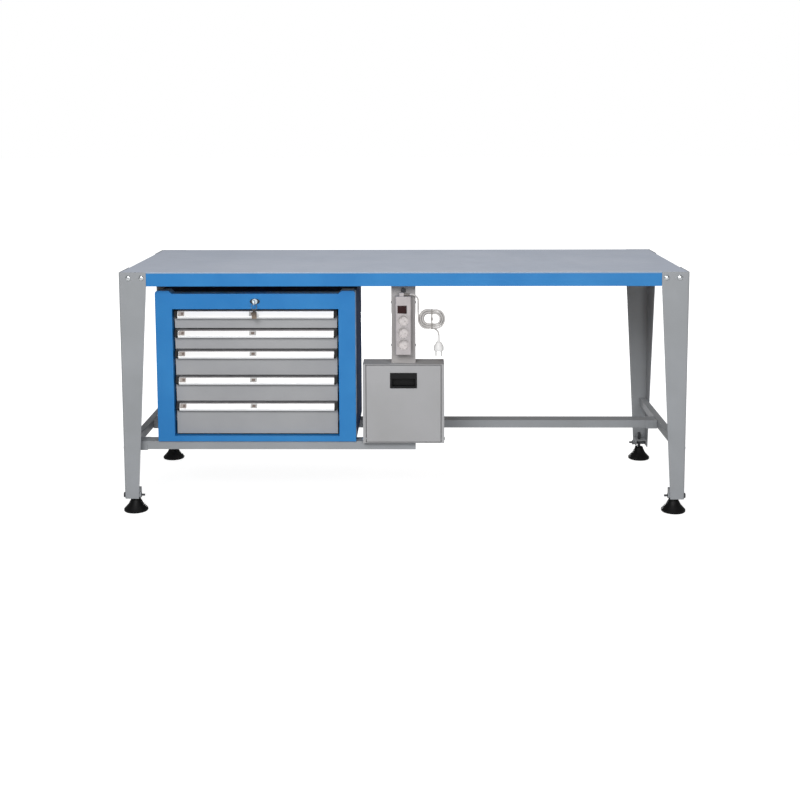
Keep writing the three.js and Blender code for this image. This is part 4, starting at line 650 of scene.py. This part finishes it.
def split_at(item, place, normal):
    # Cuts the faces along a plane, so that each side of it can have its own finish
    work = bmesh.new()
    work.from_mesh(item.data)
    whole = work.verts[:] + work.edges[:] + work.faces[:]
    bmesh.ops.bisect_plane(work, geom=whole, plane_co=place, plane_no=normal)
    work.to_mesh(item.data)
    work.free()


def on_slope(name, back, top, middle, width, start, end, thickness, edge):
    # A thin card laid on the handle's slope, from start to end down it
    along = (start + end) / 2
    outward = thickness / 2
    down = Vector((0, -slope_run, -slope_fall)) / slope_length
    out = Vector((0, -slope_fall, slope_run)) / slope_length
    place = Vector((middle, back - slope_start, top)) + along * down + outward * out
    bpy.ops.mesh.primitive_cube_add(size=1, location=place, rotation=(slope_turn, 0, 0))
    card = bpy.context.object
    card.name = name
    card.scale = (width, thickness, end - start)
    pick(card)
    bpy.ops.object.transform_apply(location=True, rotation=True, scale=True)
    return rounded(card, edge)


for number in range(1, 6):
    body = f"drawer_{number}"
    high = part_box(f"drawer_handle_{number}")[1]
    handle = copy_of(f"drawer_handle_{number}", f"handle_strip_{number}", 0)
    split_at(handle, (cap_inner_left, 0, 0), (1, 0, 0))
    split_at(handle, (cap_inner_right, 0, 0), (1, 0, 0))
    split_at(handle, (0, 0, high[2] - shade_band_depth), (0, 0, 1))
    settle(handle, body, "handle_aluminium", anodised, grip_plastic, handle_top_shade)
    # The handle's top band gets the painted shade
    paint_where(handle, 2, lambda place: place.z > high[2] - shade_band_depth)
    paint_where(handle, 1, lambda place: place.x < cap_inner_left or place.x > cap_inner_right)
    card = on_slope(
        f"label_card_{number}", high[1], high[2], grip_middle, card_width, card_start, card_end,
        card_thickness, card_edge,
    )
    settle(card, body, "strip_white", label_card)
    for name, middle, width, start, end, thickness, material in tabs:
        tab = on_slope(
            f"{name}_{number}", high[1], high[2], middle, width, start, end, thickness, tab_edge
        )
        settle(tab, body, "strip_white", material)

# Lock: a nickel-plated barrel and a blackened oval plate, set in the frame's top rail. A flat key stands in
# its plug, and a leather fob hangs from the key on a split ring.
ring_steel_and_painted_shade = new_material("spring_steel_with_painted_shade", roughness=0.45, metallic=1.0, colour="#7d7a76")[0]
# Spring steel, a dull dark grey: partly its own colour, partly painted shade round the ring under the key
lock_plate_with_painted_shade = new_material("blackened_lock_plate_painted_shade", roughness=0.4, colour="#1f2b36")[0]
# Zinc die-casting blackened; its cold blue tint is painted shade, the dark teal shadow beside the barrel
leather, leather_shader = new_material("vegetable_tanned_leather", roughness=0.55)
# Vegetable-tanned cowhide: brown, darker at the top by the ring and paler towards the bottom, with millimetre
# pores
fob_low, fob_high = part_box("key_fob")
dark_top_length, pale_bottom_share = 0.008, 0.85
fob_place = add_node(leather, "ShaderNodeTexCoord")
fob_axes = add_node(leather, "ShaderNodeSeparateXYZ", links={"Vector": fob_place.outputs["Object"]})
fob_fade = add_node(
    leather, "ShaderNodeMapRange", links={"Value": fob_axes.outputs["Z"]},
    values={
        "From Min": fob_high[2] - dark_top_length, "From Max": fob_low[2], "To Min": 0.0, "To Max": pale_bottom_share,
    },
)
fob_mixed = add_node(
    leather, "ShaderNodeMath", {"operation": "MULTIPLY"},
    links={0: mottle(leather, 0.004, 5.0), 1: fob_fade.outputs["Result"]},
)
leather_tint = tinted(leather, fob_mixed.outputs["Value"], "#3d342f", "#93816f", 0.05, 0.5)
join(leather, leather_tint, leather_shader, "Base Color")
pore, pore_depth = 0.0012, 0.0003
join(leather, bumped(leather, mottle(leather, pore, 4.0), pore_depth, 0.7), leather_shader, "Normal")
nickel_with_painted_glint = new_material("satin_nickel_painted_glint", roughness=0.45, metallic=0.7, colour="#dfe9ee")[0]
# Nickel-plated and vapour-blasted: a cold silver, its light blue-white base partly a painted highlight, a
# cyan glint
plate_front_y = -0.3318
# The oval plate's blue-black is partly painted shade
lock = copy_of("lock_body", "lock_barrel", 0.0004)
settle(lock, "root", "zinc", lock_plate_with_painted_shade, nickel_with_painted_glint)
paint_where(lock, 1, lambda place: place.y < plate_front_y)
# Plug and key take the nickel whose light blue-white is partly a painted glint
settle(copy_of("lock_plug", "lock_cylinder_plug", 0.0003), "key", "zinc", nickel_with_painted_glint)
settle(copy_of("lock_key", "flat_key", 0.0003), "key", "key_brass", nickel_with_painted_glint)
# The ring's dark grey is partly painted shade
settle(copy_of("key_ring", "split_ring", 0), "ring", "zinc", ring_steel_and_painted_shade, smooth=60)
settle(copy_of("key_fob", "leather_fob", 0.0005), "fob", "fob_leather", leather)

# Socket strip: an off-white moulded housing on the front of the post. Three whiter earthed sockets are
# pressed into it, and a dark red rocker tips in its window.
strip_white, strip_shader = new_material("off_white_abs", roughness=0.38)
# ABS, injection-moulded: off-white with a pink cast, yellowed unevenly
strip_tint = tinted(strip_white, mottle(strip_white, 0.05), "#b2adae", "#beb8b9")
join(strip_white, strip_tint, strip_shader, "Base Color")
socket_white, socket_shader = new_material("white_socket_insert", roughness=0.45)
# Urea moulding pressed into the housing: whiter than it, with a faint flow mottle
socket_tint = tinted(socket_white, mottle(socket_white, 0.012), "#c8c3c3", "#d6d1d0")
join(socket_white, socket_tint, socket_shader, "Base Color")
rocker_red, rocker_shader = new_material("dark_red_polycarbonate", roughness=0.25, colour="#2a0c0d")
# Tinted polycarbonate, unlit: nearly black with a red cast, moulded smooth
rocker_shader.inputs["Specular IOR Level"].default_value = 0.3
settle(copy_of("strip_housing", "strip_case", 0.001), "root", "strip_white", strip_white)
for number in range(1, 4):
    socket = copy_of(f"socket_{number}", f"socket_well_{number}", 0.0004)
    settle(socket, "root", "strip_white", socket_white)
settle(copy_of("strip_rocker", "switch_rocker", 0.001), "rocker", "rocker_plastic", rocker_red)
